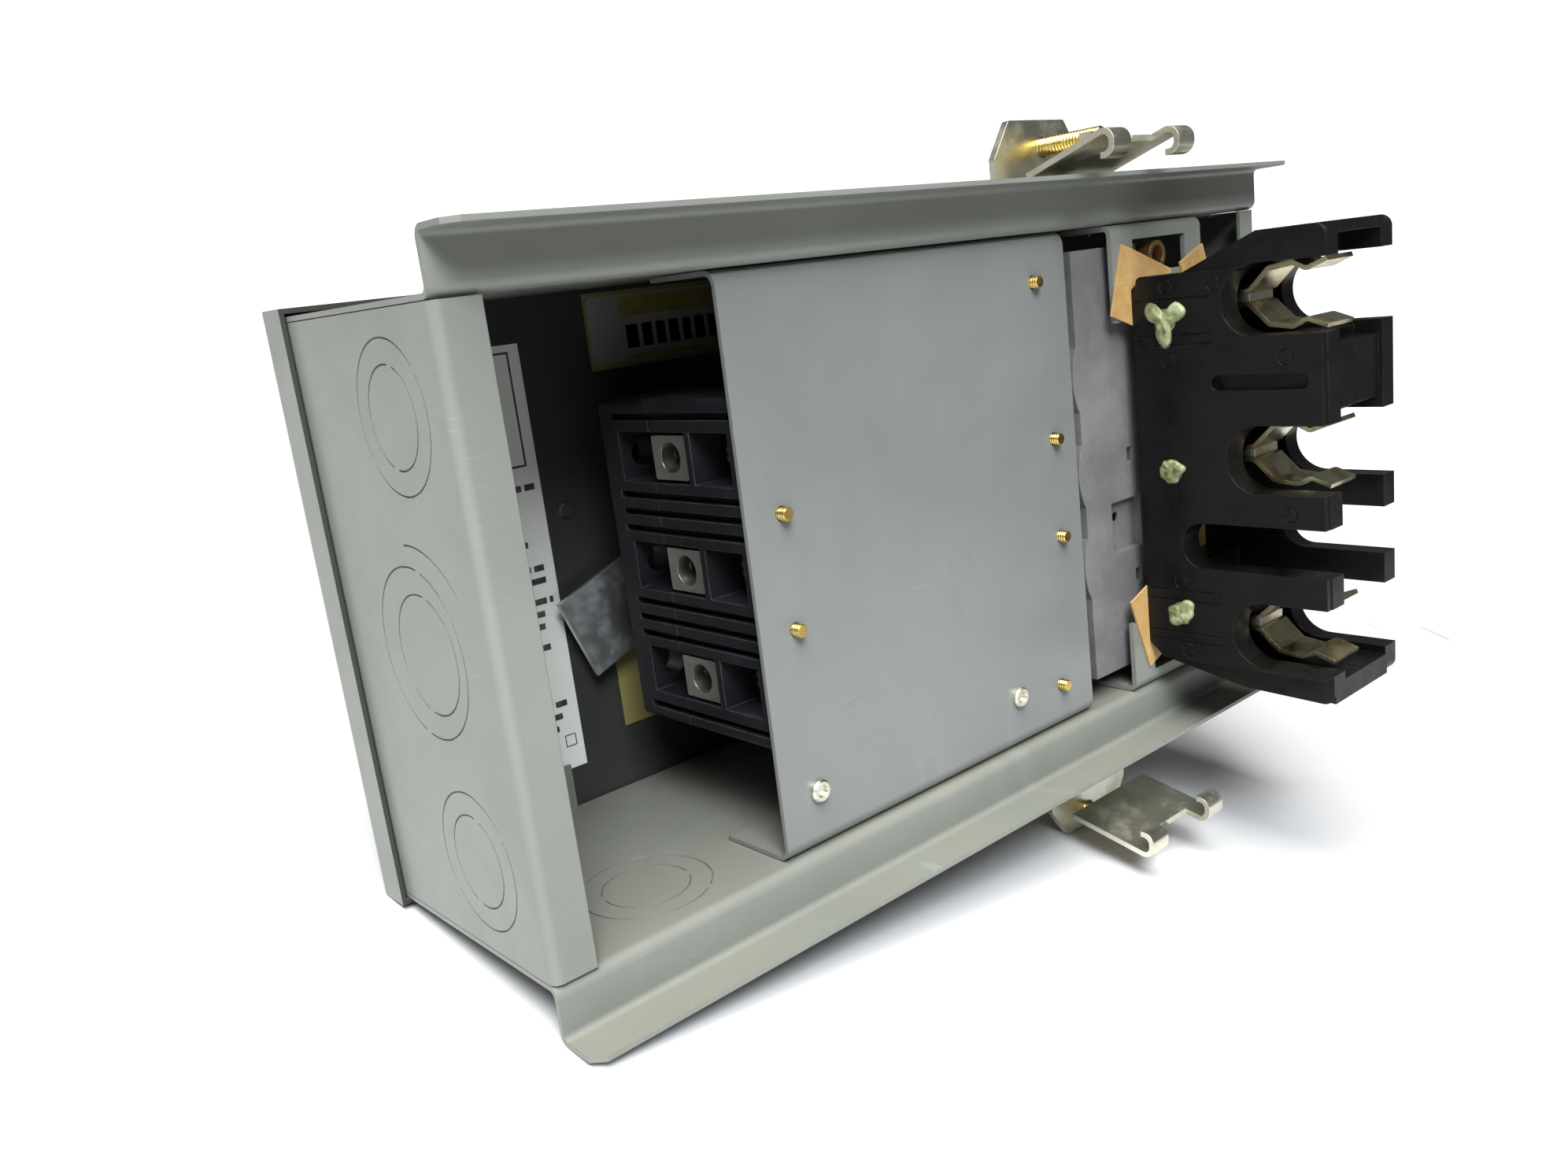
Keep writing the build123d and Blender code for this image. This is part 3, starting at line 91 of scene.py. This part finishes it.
# ------------------------------------------------------------- shader helpers
class Shader:
    """A material and short ways to add nodes to it."""

    def __init__(self, name):
        self.material = bpy.data.materials.new(name)
        self.material.use_nodes = True
        self.tree = self.material.node_tree
        self.bsdf = self.tree.nodes["Principled BSDF"]
        self.position = self.add("ShaderNodeTexCoord").outputs["Object"]

    def add(self, kind, **settings):
        node = self.tree.nodes.new(kind)
        for key, value in settings.items():
            setattr(node, key, value)
        return node

    def put(self, socket, value):
        if isinstance(value, bpy.types.NodeSocket):
            self.tree.links.new(value, socket)
        elif isinstance(value, tuple) and len(value) == 3 and socket.type == "RGBA":
            socket.default_value = (*value, 1.0)
        else:
            socket.default_value = value

    def math(self, operation, a, b=0.0, clamp=False):
        node = self.add("ShaderNodeMath", operation=operation, use_clamp=clamp)
        self.put(node.inputs[0], a)
        self.put(node.inputs[1], b)
        return node.outputs[0]

    def stretched(self, scale, turn=(0.0, 0.0, 0.0)):
        node = self.add("ShaderNodeMapping")
        self.put(node.inputs["Vector"], self.position)
        node.inputs["Scale"].default_value = scale
        node.inputs["Rotation"].default_value = turn
        return node.outputs[0]

    def noise(self, scale, detail=3.0, rough=0.55, vector=None, distortion=0.0):
        node = self.add("ShaderNodeTexNoise")
        self.put(node.inputs["Vector"], vector or self.position)
        node.inputs["Scale"].default_value = scale
        node.inputs["Detail"].default_value = detail
        node.inputs["Roughness"].default_value = rough
        node.inputs["Distortion"].default_value = distortion
        return node.outputs["Fac"]

    def ramp(self, value, low, high, smooth=True):
        """0 below low, 1 above high."""
        node = self.add("ShaderNodeMapRange", clamp=True)
        node.interpolation_type = "SMOOTHSTEP" if smooth else "LINEAR"
        self.put(node.inputs["Value"], value)
        node.inputs["From Min"].default_value = low
        node.inputs["From Max"].default_value = high
        return node.outputs[0]

    def mix(self, amount, a, b):
        node = self.add("ShaderNodeMix", data_type="RGBA")
        self.put(node.inputs[0], amount)
        self.put(node.inputs[6], a)
        self.put(node.inputs[7], b)
        return node.outputs[2]

    def normal_axis(self, axis):
        node = self.add("ShaderNodeSeparateXYZ")
        coordinates = self.add("ShaderNodeTexCoord")
        self.put(node.inputs[0], coordinates.outputs["Normal"])
        return node.outputs[axis]

    def edges(self, radius, low=0.02, high=0.25):
        """1 on outside and inside edges, 0 on open faces."""
        bevel = self.add("ShaderNodeBevel", samples=3)
        bevel.inputs["Radius"].default_value = radius
        plain = self.add("ShaderNodeNewGeometry")
        dot = self.add("ShaderNodeVectorMath", operation="DOT_PRODUCT")
        self.put(dot.inputs[0], bevel.outputs[0])
        self.put(dot.inputs[1], plain.outputs["Normal"])
        return self.ramp(self.math("SUBTRACT", 1.0, dot.outputs["Value"]), low, high)

    def rounded(self, radius):
        bevel = self.add("ShaderNodeBevel", samples=3)
        bevel.inputs["Radius"].default_value = radius
        return bevel.outputs[0]

    def bump(self, height, strength, distance, normal=None):
        node = self.add("ShaderNodeBump")
        self.put(node.inputs["Height"], height)
        node.inputs["Strength"].default_value = strength
        node.inputs["Distance"].default_value = distance
        if normal is not None:
            self.put(node.inputs["Normal"], normal)
        return node.outputs[0]

    def hairlines(self, turn, density):
        """Sparse fine scratches that run across the surface."""
        lines = self.noise(90.0, 2.0, 0.4, self.stretched((1.0, 1.0, 30.0), turn))
        patches = self.noise(14.0, 2.0, 0.5)
        thin = self.ramp(lines, density, density + 0.015)
        return self.math("MULTIPLY", thin, self.ramp(patches, 0.55, 0.65))

    def finish(self, color, roughness, normal=None, **plain):
        self.put(self.bsdf.inputs["Base Color"], color)
        self.put(self.bsdf.inputs["Roughness"], roughness)
        if normal is not None:
            self.put(self.bsdf.inputs["Normal"], normal)
        for name, value in plain.items():
            self.bsdf.inputs[name.replace("_", " ")].default_value = value
        return self.material


def blend_value(shader, amount, low, high):
    """low where amount is 0, high where it is 1."""
    return shader.math("ADD", shader.math("MULTIPLY", amount, high - low), low)


# ------------------------------------------------------------------ materials
def paint(name, base, dust, inner_shade=0.0):
    """Satin enamel: orange peel, faint mottling, rare scratches, chips, dusty tops.

    inner_shade is painted shade: it darkens the faces that look out of the open rim towards near black.
    """
    s = Shader(name)
    mottle = s.noise(7.0, 4.0, 0.6)
    darker = tuple(c * 0.9 for c in base)
    lighter = tuple(c * 1.07 for c in base)
    color = s.mix(s.ramp(mottle, 0.3, 0.7), darker, lighter)
    grime = s.ramp(s.noise(30.0, 6.0, 0.7), 0.56, 0.82)
    color = s.mix(s.math("MULTIPLY", grime, 0.22), color, tuple(c * 0.55 for c in base))
    smear = s.ramp(s.noise(16.0, 5.0, 0.62, s.stretched((1.0, 1.0, 0.45), (0.2, 0.5, 0.1)), 0.6), 0.6, 0.76)
    color = s.mix(s.math("MULTIPLY", smear, 0.2), color, (0.42, 0.44, 0.45))
    up = s.ramp(s.normal_axis(2), 0.4, 0.9)
    film = s.ramp(s.noise(24.0, 5.0, 0.65), 0.25, 0.7)
    dusty = s.math("MULTIPLY", s.math("MULTIPLY", up, film), dust)
    color = s.mix(dusty, color, (0.27, 0.25, 0.2))
    edge = s.edges(0.0005)
    worn = s.math("MULTIPLY", edge, s.ramp(s.noise(160.0, 3.0, 0.6), 0.5, 0.72))
    color = s.mix(s.math("MULTIPLY", worn, 0.45), color, (0.5, 0.52, 0.5))
    chip = s.math("MULTIPLY", s.edges(0.0022, 0.01, 0.1), s.ramp(s.noise(105.0, 4.0, 0.7), 0.73, 0.75))
    color = s.mix(s.math("MULTIPLY", chip, 0.85), color, (0.09, 0.085, 0.08))
    lines = s.hairlines((0.4, 0.3, 0.9), 0.7)
    color = s.mix(s.math("MULTIPLY", lines, 0.18), color, (0.5, 0.51, 0.49))
    # painted shade: faces turned towards -Y are mixed towards near black
    if inner_shade > 0.0:
        inside = s.ramp(s.normal_axis(1), -0.5, -0.8)
        color = s.mix(s.math("MULTIPLY", inside, inner_shade), color, (0.02, 0.02, 0.02))
    rough = blend_value(s, s.ramp(s.noise(60.0, 4.0, 0.6), 0.3, 0.7), 0.3, 0.38)
    rough = s.math("ADD", rough, s.math("MULTIPLY", dusty, 0.3), clamp=True)
    rough = s.math("ADD", rough, s.math("MULTIPLY", smear, 0.12), clamp=True)
    normal = s.bump(s.noise(620.0, 2.0, 0.5), 0.14, 0.0002, s.rounded(0.0004))
    normal = s.bump(s.noise(20.0, 2.0, 0.5), 0.08, 0.0012, normal)
    return s.finish(color, rough, normal, Specular_IOR_Level=0.5)


def metal(name, base, stain, roughness, stain_amount=0.5, brushed=False, patina=None, depth=0.15):
    """Plated or bare metal with stains, fine scratches and softened edges."""
    s = Shader(name)
    blotch = s.ramp(s.noise(70.0, 5.0, 0.65), 0.42, 0.68)
    speck = s.ramp(s.noise(520.0, 3.0, 0.6), 0.6, 0.72)
    color = s.mix(s.math("MULTIPLY", blotch, stain_amount), base, stain)
    color = s.mix(s.math("MULTIPLY", speck, 0.3), color, tuple(c * 0.6 for c in base))
    if patina is not None:
        where = s.ramp(s.noise(45.0, 4.0, 0.6, distortion=0.6), 0.5, 0.62)
        color = s.mix(s.math("MULTIPLY", where, 0.8), color, patina)
    rough = blend_value(s, blotch, roughness, min(roughness + 0.22, 0.9))
    grain = s.stretched((1.0, 14.0, 1.0)) if brushed else None
    normal = s.bump(s.noise(900.0, 3.0, 0.6, grain), depth, 0.00015, s.rounded(0.0003))
    return s.finish(color, rough, normal, Metallic=1.0)


def plastic(
    name, base, dust_color, dust, roughness, grain=900.0, grain_depth=0.3, spread=0.14, shine=0.5, wear=0.0
):
    """Moulded plastic: fine grain, dust on tops and pale scuffed edges."""
    s = Shader(name)
    tone = s.ramp(s.noise(30.0, 4.0, 0.6), 0.3, 0.7)
    color = s.mix(tone, tuple(c * 0.8 for c in base), tuple(c * 1.2 for c in base))
    up = s.ramp(s.normal_axis(2), 0.2, 0.95)
    film = s.ramp(s.noise(55.0, 6.0, 0.7), 0.35, 0.75)
    dusty = s.math("MULTIPLY", s.math("ADD", s.math("MULTIPLY", up, 0.7), 0.3), film)
    dusty = s.math("MULTIPLY", dusty, dust)
    color = s.mix(dusty, color, dust_color)
    worn = s.math("MULTIPLY", s.edges(0.0005), s.ramp(s.noise(210.0, 3.0, 0.6), 0.4 - 0.3 * wear, 0.7))
    edge_color = tuple(c * (1.0 + wear) for c in dust_color)
    color = s.mix(s.math("MULTIPLY", worn, 0.5 + 0.5 * wear), color, edge_color)
    rough = blend_value(s, s.ramp(s.noise(80.0, 4.0, 0.6), 0.3, 0.7), roughness, roughness + spread)
    rough = s.math("ADD", rough, s.math("MULTIPLY", dusty, 0.3), clamp=True)
    normal = s.bump(s.noise(grain, 3.0, 0.6), grain_depth, 0.0002, s.rounded(0.0005))
    return s.finish(color, rough, normal, Specular_IOR_Level=shine)


def paper(name, base, stain):
    """Printed paper label, a little yellowed and rubbed."""
    s = Shader(name)
    tone = s.ramp(s.noise(22.0, 5.0, 0.65), 0.3, 0.75)
    color = s.mix(s.math("MULTIPLY", tone, 0.6), base, stain)
    rubbed = s.ramp(s.noise(130.0, 5.0, 0.7), 0.6, 0.8)
    color = s.mix(s.math("MULTIPLY", rubbed, 0.25), color, tuple(c * 0.7 for c in base))
    rough = blend_value(s, tone, 0.5, 0.62)
    normal = s.bump(s.noise(420.0, 4.0, 0.6), 0.2, 0.0001)
    return s.finish(color, rough, normal)


def fibre():
    """Tan vulcanised fibre with a faint weave and worn dark patches."""
    s = Shader("tan_fibre")
    base = s.mix(s.ramp(s.noise(40.0, 5.0, 0.7), 0.3, 0.7), (0.42, 0.26, 0.1), (0.56, 0.38, 0.17))
    threads = s.noise(700.0, 2.0, 0.5, s.stretched((1.0, 1.0, 6.0)))
    color = s.mix(s.math("MULTIPLY", s.ramp(threads, 0.45, 0.7), 0.35), base, (0.3, 0.17, 0.06))
    worn = s.math("MULTIPLY", s.edges(0.0008), 0.5)
    color = s.mix(worn, color, (0.68, 0.52, 0.3))
    normal = s.bump(threads, 0.3, 0.0002)
    return s.finish(color, blend_value(s, threads, 0.5, 0.7), normal)


def sealant():
    """Cured greenish cream sealant, a little translucent and dusty."""
    s = Shader("cured_sealant")
    tone = s.ramp(s.noise(160.0, 5.0, 0.65), 0.35, 0.7)
    color = s.mix(tone, (0.17, 0.19, 0.09), (0.42, 0.46, 0.28))
    rust = s.ramp(s.noise(90.0, 4.0, 0.6), 0.62, 0.72)
    color = s.mix(s.math("MULTIPLY", rust, 0.7), color, (0.3, 0.12, 0.03))
    rough = blend_value(s, tone, 0.25, 0.5)
    normal = s.bump(s.noise(300.0, 4.0, 0.6), 0.4, 0.0004)
    return s.finish(color, rough, normal, Subsurface_Weight=0.15, Subsurface_Scale=0.002)


def ink(name, base):
    """Flat printing ink, thin in places."""
    s = Shader(name)
    thin = s.ramp(s.noise(260.0, 4.0, 0.7), 0.35, 0.75)
    color = s.mix(s.math("MULTIPLY", thin, 0.5), base, tuple(min(c + 0.2, 1.0) for c in base))
    return s.finish(color, blend_value(s, thin, 0.45, 0.6))


def floor_surface():
    """Pale worn table top with faint rubbed marks and fine dark scuffs."""
    s = Shader("pale_table")
    smudge = s.ramp(s.noise(5.0, 6.0, 0.65), 0.35, 0.8)
    color = s.mix(s.math("MULTIPLY", smudge, 0.14), (0.68, 0.68, 0.69), (0.58, 0.58, 0.595))
    patches = s.ramp(s.noise(3.4, 3.0, 0.5), 0.44, 0.62)
    marks = s.noise(30.0, 6.0, 0.8, s.stretched((1.0, 5.0, 1.0), (0.0, 0.0, 0.5)), 0.9)
    worn = s.math("MULTIPLY", s.ramp(marks, 0.63, 0.7), patches)
    color = s.mix(s.math("MULTIPLY", worn, 0.5), color, (0.34, 0.33, 0.33))
    for turn, scale in ((0.35, 46.0), (1.2, 60.0), (2.3, 52.0)):
        streak = s.noise(scale, 2.0, 0.45, s.stretched((0.05, 1.0, 1.0), (0.0, 0.0, turn)))
        where = s.ramp(s.noise(7.0 + turn, 2.0, 0.5), 0.56, 0.64)
        thin = s.math("MULTIPLY", s.ramp(streak, 0.715, 0.73), where)
        color = s.mix(s.math("MULTIPLY", thin, 0.4), color, (0.4, 0.39, 0.39))
    far = s.add("ShaderNodeVectorMath", operation="LENGTH")
    s.put(far.inputs[0], s.position)
    color = s.mix(s.ramp(far.outputs["Value"], *FLOOR_FADE), color, (0.93, 0.935, 0.94))
    rough = blend_value(s, smudge, 0.45, 0.6)
    return s.finish(color, rough)


PAINT = (0.235, 0.245, 0.222)
MATERIALS = {
    "enclosure_paint": paint("enclosure_enamel", PAINT, 0.5),
    # shaded_paper is white paper painted grey as shade, used for the upper sticker's panel.
    "shaded_paper": paper("shaded_paper", (0.4, 0.4, 0.38), (0.3, 0.3, 0.27)),
    "pan_paint": paint("pan_enamel", (0.222, 0.232, 0.225), 0.35),
    "steel": metal("plain_steel", (0.42, 0.42, 0.4), (0.24, 0.21, 0.17), 0.34),
    "zinc_plate": metal("zinc_plating", (0.8, 0.79, 0.69), (0.66, 0.61, 0.46), 0.3, 0.5),
    "yellow_zinc": metal("yellow_chromate", (0.74, 0.58, 0.22), (0.5, 0.36, 0.12), 0.26, 0.5),
    "brass": metal("aged_brass", (0.68, 0.48, 0.22), (0.4, 0.24, 0.1), 0.34, 0.6),
    "galvanised": metal("galvanised_sheet", (0.66, 0.68, 0.68), (0.46, 0.47, 0.48), 0.45, 0.6),
    "white_label": paper("white_paper", (0.84, 0.85, 0.82), (0.74, 0.74, 0.67)),
    "yellow_label": paper("yellow_paper", (0.34, 0.31, 0.13), (0.24, 0.21, 0.08)),
    "handle_black": plastic("lever_plastic", (0.02, 0.02, 0.022), (0.2, 0.2, 0.19), 0.25, 0.3),
    "breaker_moulding": plastic(
        "case_moulding", (0.013, 0.013, 0.017), (0.11, 0.11, 0.12), 0.22, 0.42, wear=0.8
    ),
    "toggle_black": plastic("inner_moulding", (0.018, 0.018, 0.02), (0.16, 0.15, 0.14), 0.25, 0.4),
    "trip_red": plastic("red_button", (0.45, 0.02, 0.015), (0.3, 0.2, 0.18), 0.2, 0.32),
    "copper": metal("bare_copper", (0.68, 0.36, 0.22), (0.32, 0.14, 0.07), 0.32, 0.6),
    "tinned_copper": metal("tinned_strap", (0.78, 0.74, 0.62), (0.5, 0.42, 0.28), 0.34, 0.5),
    "plated_copper": metal(
        "tarnished_plating", (0.7, 0.66, 0.46), (0.5, 0.4, 0.2), 0.24, 0.5,
        patina=(0.44, 0.33, 0.15), depth=0.06
    ),
    "tin_plate": metal("tin_plating", (0.72, 0.72, 0.66), (0.46, 0.44, 0.38), 0.3, 0.5, brushed=True),
    "shield_grey": plastic(
        "grained_moulding", (0.185, 0.182, 0.185), (0.32, 0.31, 0.3), 0.3, 0.5, 420.0, 0.9
    ),
    "fibre_sheet": fibre(),
    "jaw_phenolic": plastic(
        "black_phenolic", (0.007, 0.0065, 0.0065), (0.1, 0.09, 0.08), 0.08, 0.22, 1100.0, 0.12, 0.16, 0.45
    ),
    "sealant": sealant(),
}
# The cover's enamel carries painted shade on its inside faces.
COVER_PAINT = paint("cover_enamel", PAINT, 0.5, 0.82)
DARK_INK = ink("dark_ink", (0.05, 0.05, 0.05))
YELLOW_INK = ink("yellow_ink", (0.3, 0.25, 0.04))
BROWN_INK = ink("brown_ink", (0.16, 0.13, 0.09))


def dress_nodes():
    """Gives every CAD node the material of its slot."""
    for part in frame["record"]["subparts"]:
        node = NODES[part["node"]]
        material = COVER_PAINT if part["node"] == "front_cover" else MATERIALS[part["material_slot"]]
        node.data.materials.clear()
        node.data.materials.append(material)


# ---------------------------------------------------------------- new pieces
def new_piece(name, vertices, faces, material, body, slot):
    """A mesh piece in millimetres, fixed to a body."""
    mesh = bpy.data.meshes.new(name)
    mesh.from_pydata([Vector(v) * MM for v in vertices], [], faces)
    mesh.update()
    mesh.materials.append(material)
    piece = bpy.data.objects.new(name, mesh)
    bpy.context.scene.collection.objects.link(piece)
    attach(piece, body)
    return piece


def slabs(boxes):
    """Vertices and faces of closed boxes, each (x, y, z) low and high."""
    vertices, faces = [], []
    for x, y, z in boxes:
        base = len(vertices)
        vertices += [(a, b, c) for a in x for b in y for c in z]
        for quad in ((0, 1, 3, 2), (4, 6, 7, 5), (0, 4, 5, 1), (2, 3, 7, 6), (0, 2, 6, 4), (1, 5, 7, 3)):
            faces.append(tuple(base + corner for corner in quad))
    return vertices, faces


def text_rows(x, z_rows, height, fill=(5.0, 13.0), gap=1.8):
    """Bars that stand for rows of words, ending at or near the right edge."""
    boxes = []
    for z in z_rows:
        here = x[0]
        row_end = x[1] - random.choice((0.0, 0.0, 1.5, 4.0, 9.0))
        while here < row_end - 1.0:
            width = random.uniform(*fill)
            boxes.append(((here, min(here + width, row_end)), PRINT_Y, (z, z + height)))
            here += width + gap
    return boxes


def label_print():
    """Frame, rule lines and word bars on the large inside label."""
    left, right = LABEL_X
    boxes = [(LABEL_X, PRINT_Y, (z, z + LABEL_LINE)) for z in LABEL_BOX_Z]
    boxes += [((x, x + LABEL_LINE), PRINT_Y, LABEL_BOX_Z) for x in (left, right - LABEL_LINE)]
    boxes += text_rows((left + 5, right - 7), (58.0, 49.0, 40.0), 4.0, (6.0, 15.0), 2.4)
    paragraphs = ((25.0, 3), (6.0, 4), (-14.0, 3), (-30.0, 4), (-51.0, 3))
    rows = [top - 4.3 * row for top, count in paragraphs for row in range(count)]
    boxes += text_rows((left, right + 1.5), rows, 2.1, (4.0, 9.0), 1.2)
    corner_box = ((right - 3.0, right + 1.0), (-66.0, -62.0))
    thin = LABEL_LINE / 2.0
    boxes += [(corner_box[0], PRINT_Y, (z, z + thin)) for z in corner_box[1]]
    boxes += [((x, x + thin), PRINT_Y, corner_box[1]) for x in corner_box[0]]
    return new_piece("label_print", *slabs(boxes), DARK_INK, "cover", "white_label")


def rounded_panel(x, z, radius, y):
    """Vertices and faces of a thin plate in the XZ plane with rounded corners."""
    steps = 6
    outline = []
    for corner in range(4):
        centre_x = x[1] - radius if corner in (0, 3) else x[0] + radius
        centre_z = z[1] - radius if corner in (0, 1) else z[0] + radius
        for step in range(steps + 1):
            angle = math.radians(90.0 * corner + 90.0 * step / steps)
            outline.append((centre_x + radius * math.cos(angle), centre_z + radius * math.sin(angle)))
    count = len(outline)
    vertices = [(a, side, b) for side in y for a, b in outline]
    faces = [tuple(range(count)), tuple(reversed(range(count, 2 * count)))]
    faces += [(i, i + count, (i + 1) % count + count, (i + 1) % count) for i in range(count)]
    return vertices, faces


def sticker_print():
    """White panel, yellow bands and a row of bars on the upper sticker."""
    raised = (LABEL_FACE_Y - OVERPRINT_RISE, LABEL_FACE_Y + PRINT_SINK)
    # The white panel is drawn in shaded_paper: painted shade, a grey copy of the white paper.
    panel = rounded_panel((-75.0, -15.0), (61.5, 84.5), 3.0, PRINT_Y)
    new_piece("sticker_panel", *panel, MATERIALS["shaded_paper"], "cover", "yellow_label")
    bands = [((-62.0, -16.0), raised, (77.0, 83.5)), ((-62.0, -16.0), raised, (62.2, 63.6))]
    new_piece("sticker_bands", *slabs(bands), YELLOW_INK, "cover", "yellow_label")
    bars = text_rows((-60, -18), (66.0,), 8.0, (3.6, 5.0), 1.8)
    new_piece("sticker_bars", *slabs(bars), BROWN_INK, "cover", "yellow_label")


# ----------------------------------------------------------- sealant lumps
def sealant_lumps():
    """Dabs of sealant at the listed centres over the three screws of the jaw base."""
    low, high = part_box("sealant_blobs")
    face_x = high[0] / MM
    depth = (high[0] - low[0]) / MM - 0.1
    vertices, faces = [], []
    rings, spokes = 9, 40
    for index, (centre_y, centre_z) in enumerate(SEALANT_CENTRES):
        base = len(vertices)
        for ring in range(rings):
            out = ring / (rings - 1)
            for spoke in range(spokes):
                turn = 2.0 * math.pi * spoke / spokes
                lumpy = noise.noise(Vector((math.cos(turn) * 1.7, math.sin(turn) * 1.7, 5.0 * index + 1.3)))
                lobe = math.cos(SEALANT_LOBES[index] * turn + SEALANT_PHASE[index])
                star = SEALANT_LOBE_DEPTH[index] * lobe + 0.3 * lumpy
                radius = SEALANT_REACH[index] * (0.82 + star) * out
                spot_y = centre_y + radius * math.cos(turn)
                spot_z = centre_z + radius * math.sin(turn)
                rough = noise.noise(Vector((spot_y * 0.55, spot_z * 0.55, 3.0 * index)))
                dome = math.sqrt(max(0.0, 1.0 - out * out))
                rise = min(depth, depth * dome * (0.72 + 0.5 * rough) + 0.02)
                vertices.append((face_x - rise, spot_y, spot_z))
        for ring in range(rings - 1):
            for spoke in range(spokes):
                across = (spoke + 1) % spokes
                a = base + ring * spokes
                faces.append((a + spoke, a + spokes + spoke, a + spokes + across, a + across))
        faces.append(tuple(base + (rings - 1) * spokes + spoke for spoke in range(spokes)))
    lumps = new_piece("sealant_dabs", vertices, faces, MATERIALS["sealant"], "enclosure", "sealant")
    shape = bmesh.new()
    shape.from_mesh(lumps.data)
    bmesh.ops.remove_doubles(shape, verts=shape.verts, dist=1e-6)
    bmesh.ops.recalc_face_normals(shape, faces=shape.faces)
    for face in shape.faces:
        face.smooth = True
    shape.to_mesh(lumps.data)
    shape.free()
    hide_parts("sealant_blobs")


# ------------------------------------------------------- floor, light, camera
def add_floor():
    """A disc just under the lowest points of the resting object."""
    contact = min(
        (NODES[name].matrix_world @ Vector(v.co)).dot(UP_FROM_FLOOR)
        for name in ("lower_side_wall", "lower_hook_screw", "lower_hook", "hook_brackets", "front_cover")
        for v in NODES[name].data.vertices
    )
    mesh = bpy.data.meshes.new("floor")
    shape = bmesh.new()
    bmesh.ops.create_circle(shape, cap_ends=True, segments=96, radius=FLOOR_RADIUS)
    shape.to_mesh(mesh)
    shape.free()
    mesh.materials.append(floor_surface())
    floor = bpy.data.objects.new("floor", mesh)
    bpy.context.scene.collection.objects.link(floor)
    up = UP_FROM_FLOOR.normalized()
    floor.rotation_mode = "QUATERNION"
    floor.rotation_quaternion = up.to_track_quat("Z", "Y")
    floor.location = up * (contact / UP_FROM_FLOOR.length - FLOOR_GAP)


def add_area(name, place, target, size, power, color):
    """A rectangular soft light at place, turned to face target."""
    light = bpy.data.lights.new(name, "AREA")
    light.shape = "RECTANGLE"
    light.size, light.size_y = size
    light.energy = power
    light.color = color
    lamp = bpy.data.objects.new(name, light)
    lamp.location = place
    lamp.rotation_mode = "QUATERNION"
    lamp.rotation_quaternion = (Vector(target) - Vector(place)).to_track_quat("-Z", "Y")
    bpy.context.scene.collection.objects.link(lamp)


def add_sun(name, direction, strength, angle, color):
    """A soft distant light; angle is its spread in degrees."""
    light = bpy.data.lights.new(name, "SUN")
    light.color = color
    light.energy = strength
    light.angle = math.radians(angle)
    lamp = bpy.data.objects.new(name, light)
    lamp.rotation_mode = "QUATERNION"
    lamp.rotation_quaternion = Vector(direction).to_track_quat("-Z", "Y")
    bpy.context.scene.collection.objects.link(lamp)


def add_lights():
    """A white background that lights only weakly, a high soft sun and a side panel."""
    world = bpy.data.worlds.new("studio")
    world.use_nodes = True
    tree = world.node_tree
    back = tree.nodes["Background"]
    ray = tree.nodes.new("ShaderNodeLightPath")
    strength = tree.nodes.new("ShaderNodeMapRange")
    strength.inputs["To Min"].default_value = WORLD_FILL
    strength.inputs["To Max"].default_value = WORLD_SEEN
    tree.links.new(ray.outputs["Is Camera Ray"], strength.inputs["Value"])
    tree.links.new(strength.outputs[0], back.inputs["Strength"])
    back.inputs["Color"].default_value = WORLD_COLOR
    bpy.context.scene.world = world
    add_sun("ceiling_light", (0.25, 0.3, -1.0), 3.4, 45, SUN_COLOR)
    add_area("side_panel", (-0.75, -1.25, 1.2), (0.0, 0.0, 0.0), (0.7, 0.7), 36, PANEL_COLOR)


def add_camera():
    """The photograph's viewpoint, worked out from the enclosure's edges."""
    data = bpy.data.cameras.new("camera")
    data.lens = CAMERA_LENS
    data.sensor_width = CAMERA_SENSOR
    turn = Matrix((CAMERA_RIGHT, -CAMERA_DOWN, -CAMERA_FORWARD)).transposed()
    camera = bpy.data.objects.new("camera", data)
    camera.matrix_world = Matrix.Translation(CAMERA_PLACE) @ turn.to_4x4()
    bpy.context.scene.collection.objects.link(camera)
    bpy.context.scene.camera = camera


add_camera()
dress_nodes()
label_print()
sticker_print()
sealant_lumps()
add_floor()
add_lights()
bpy.context.scene.view_settings.view_transform = "Standard"
bpy.context.scene.view_settings.exposure = EXPOSURE
bpy.context.scene.view_settings.gamma = GAMMA
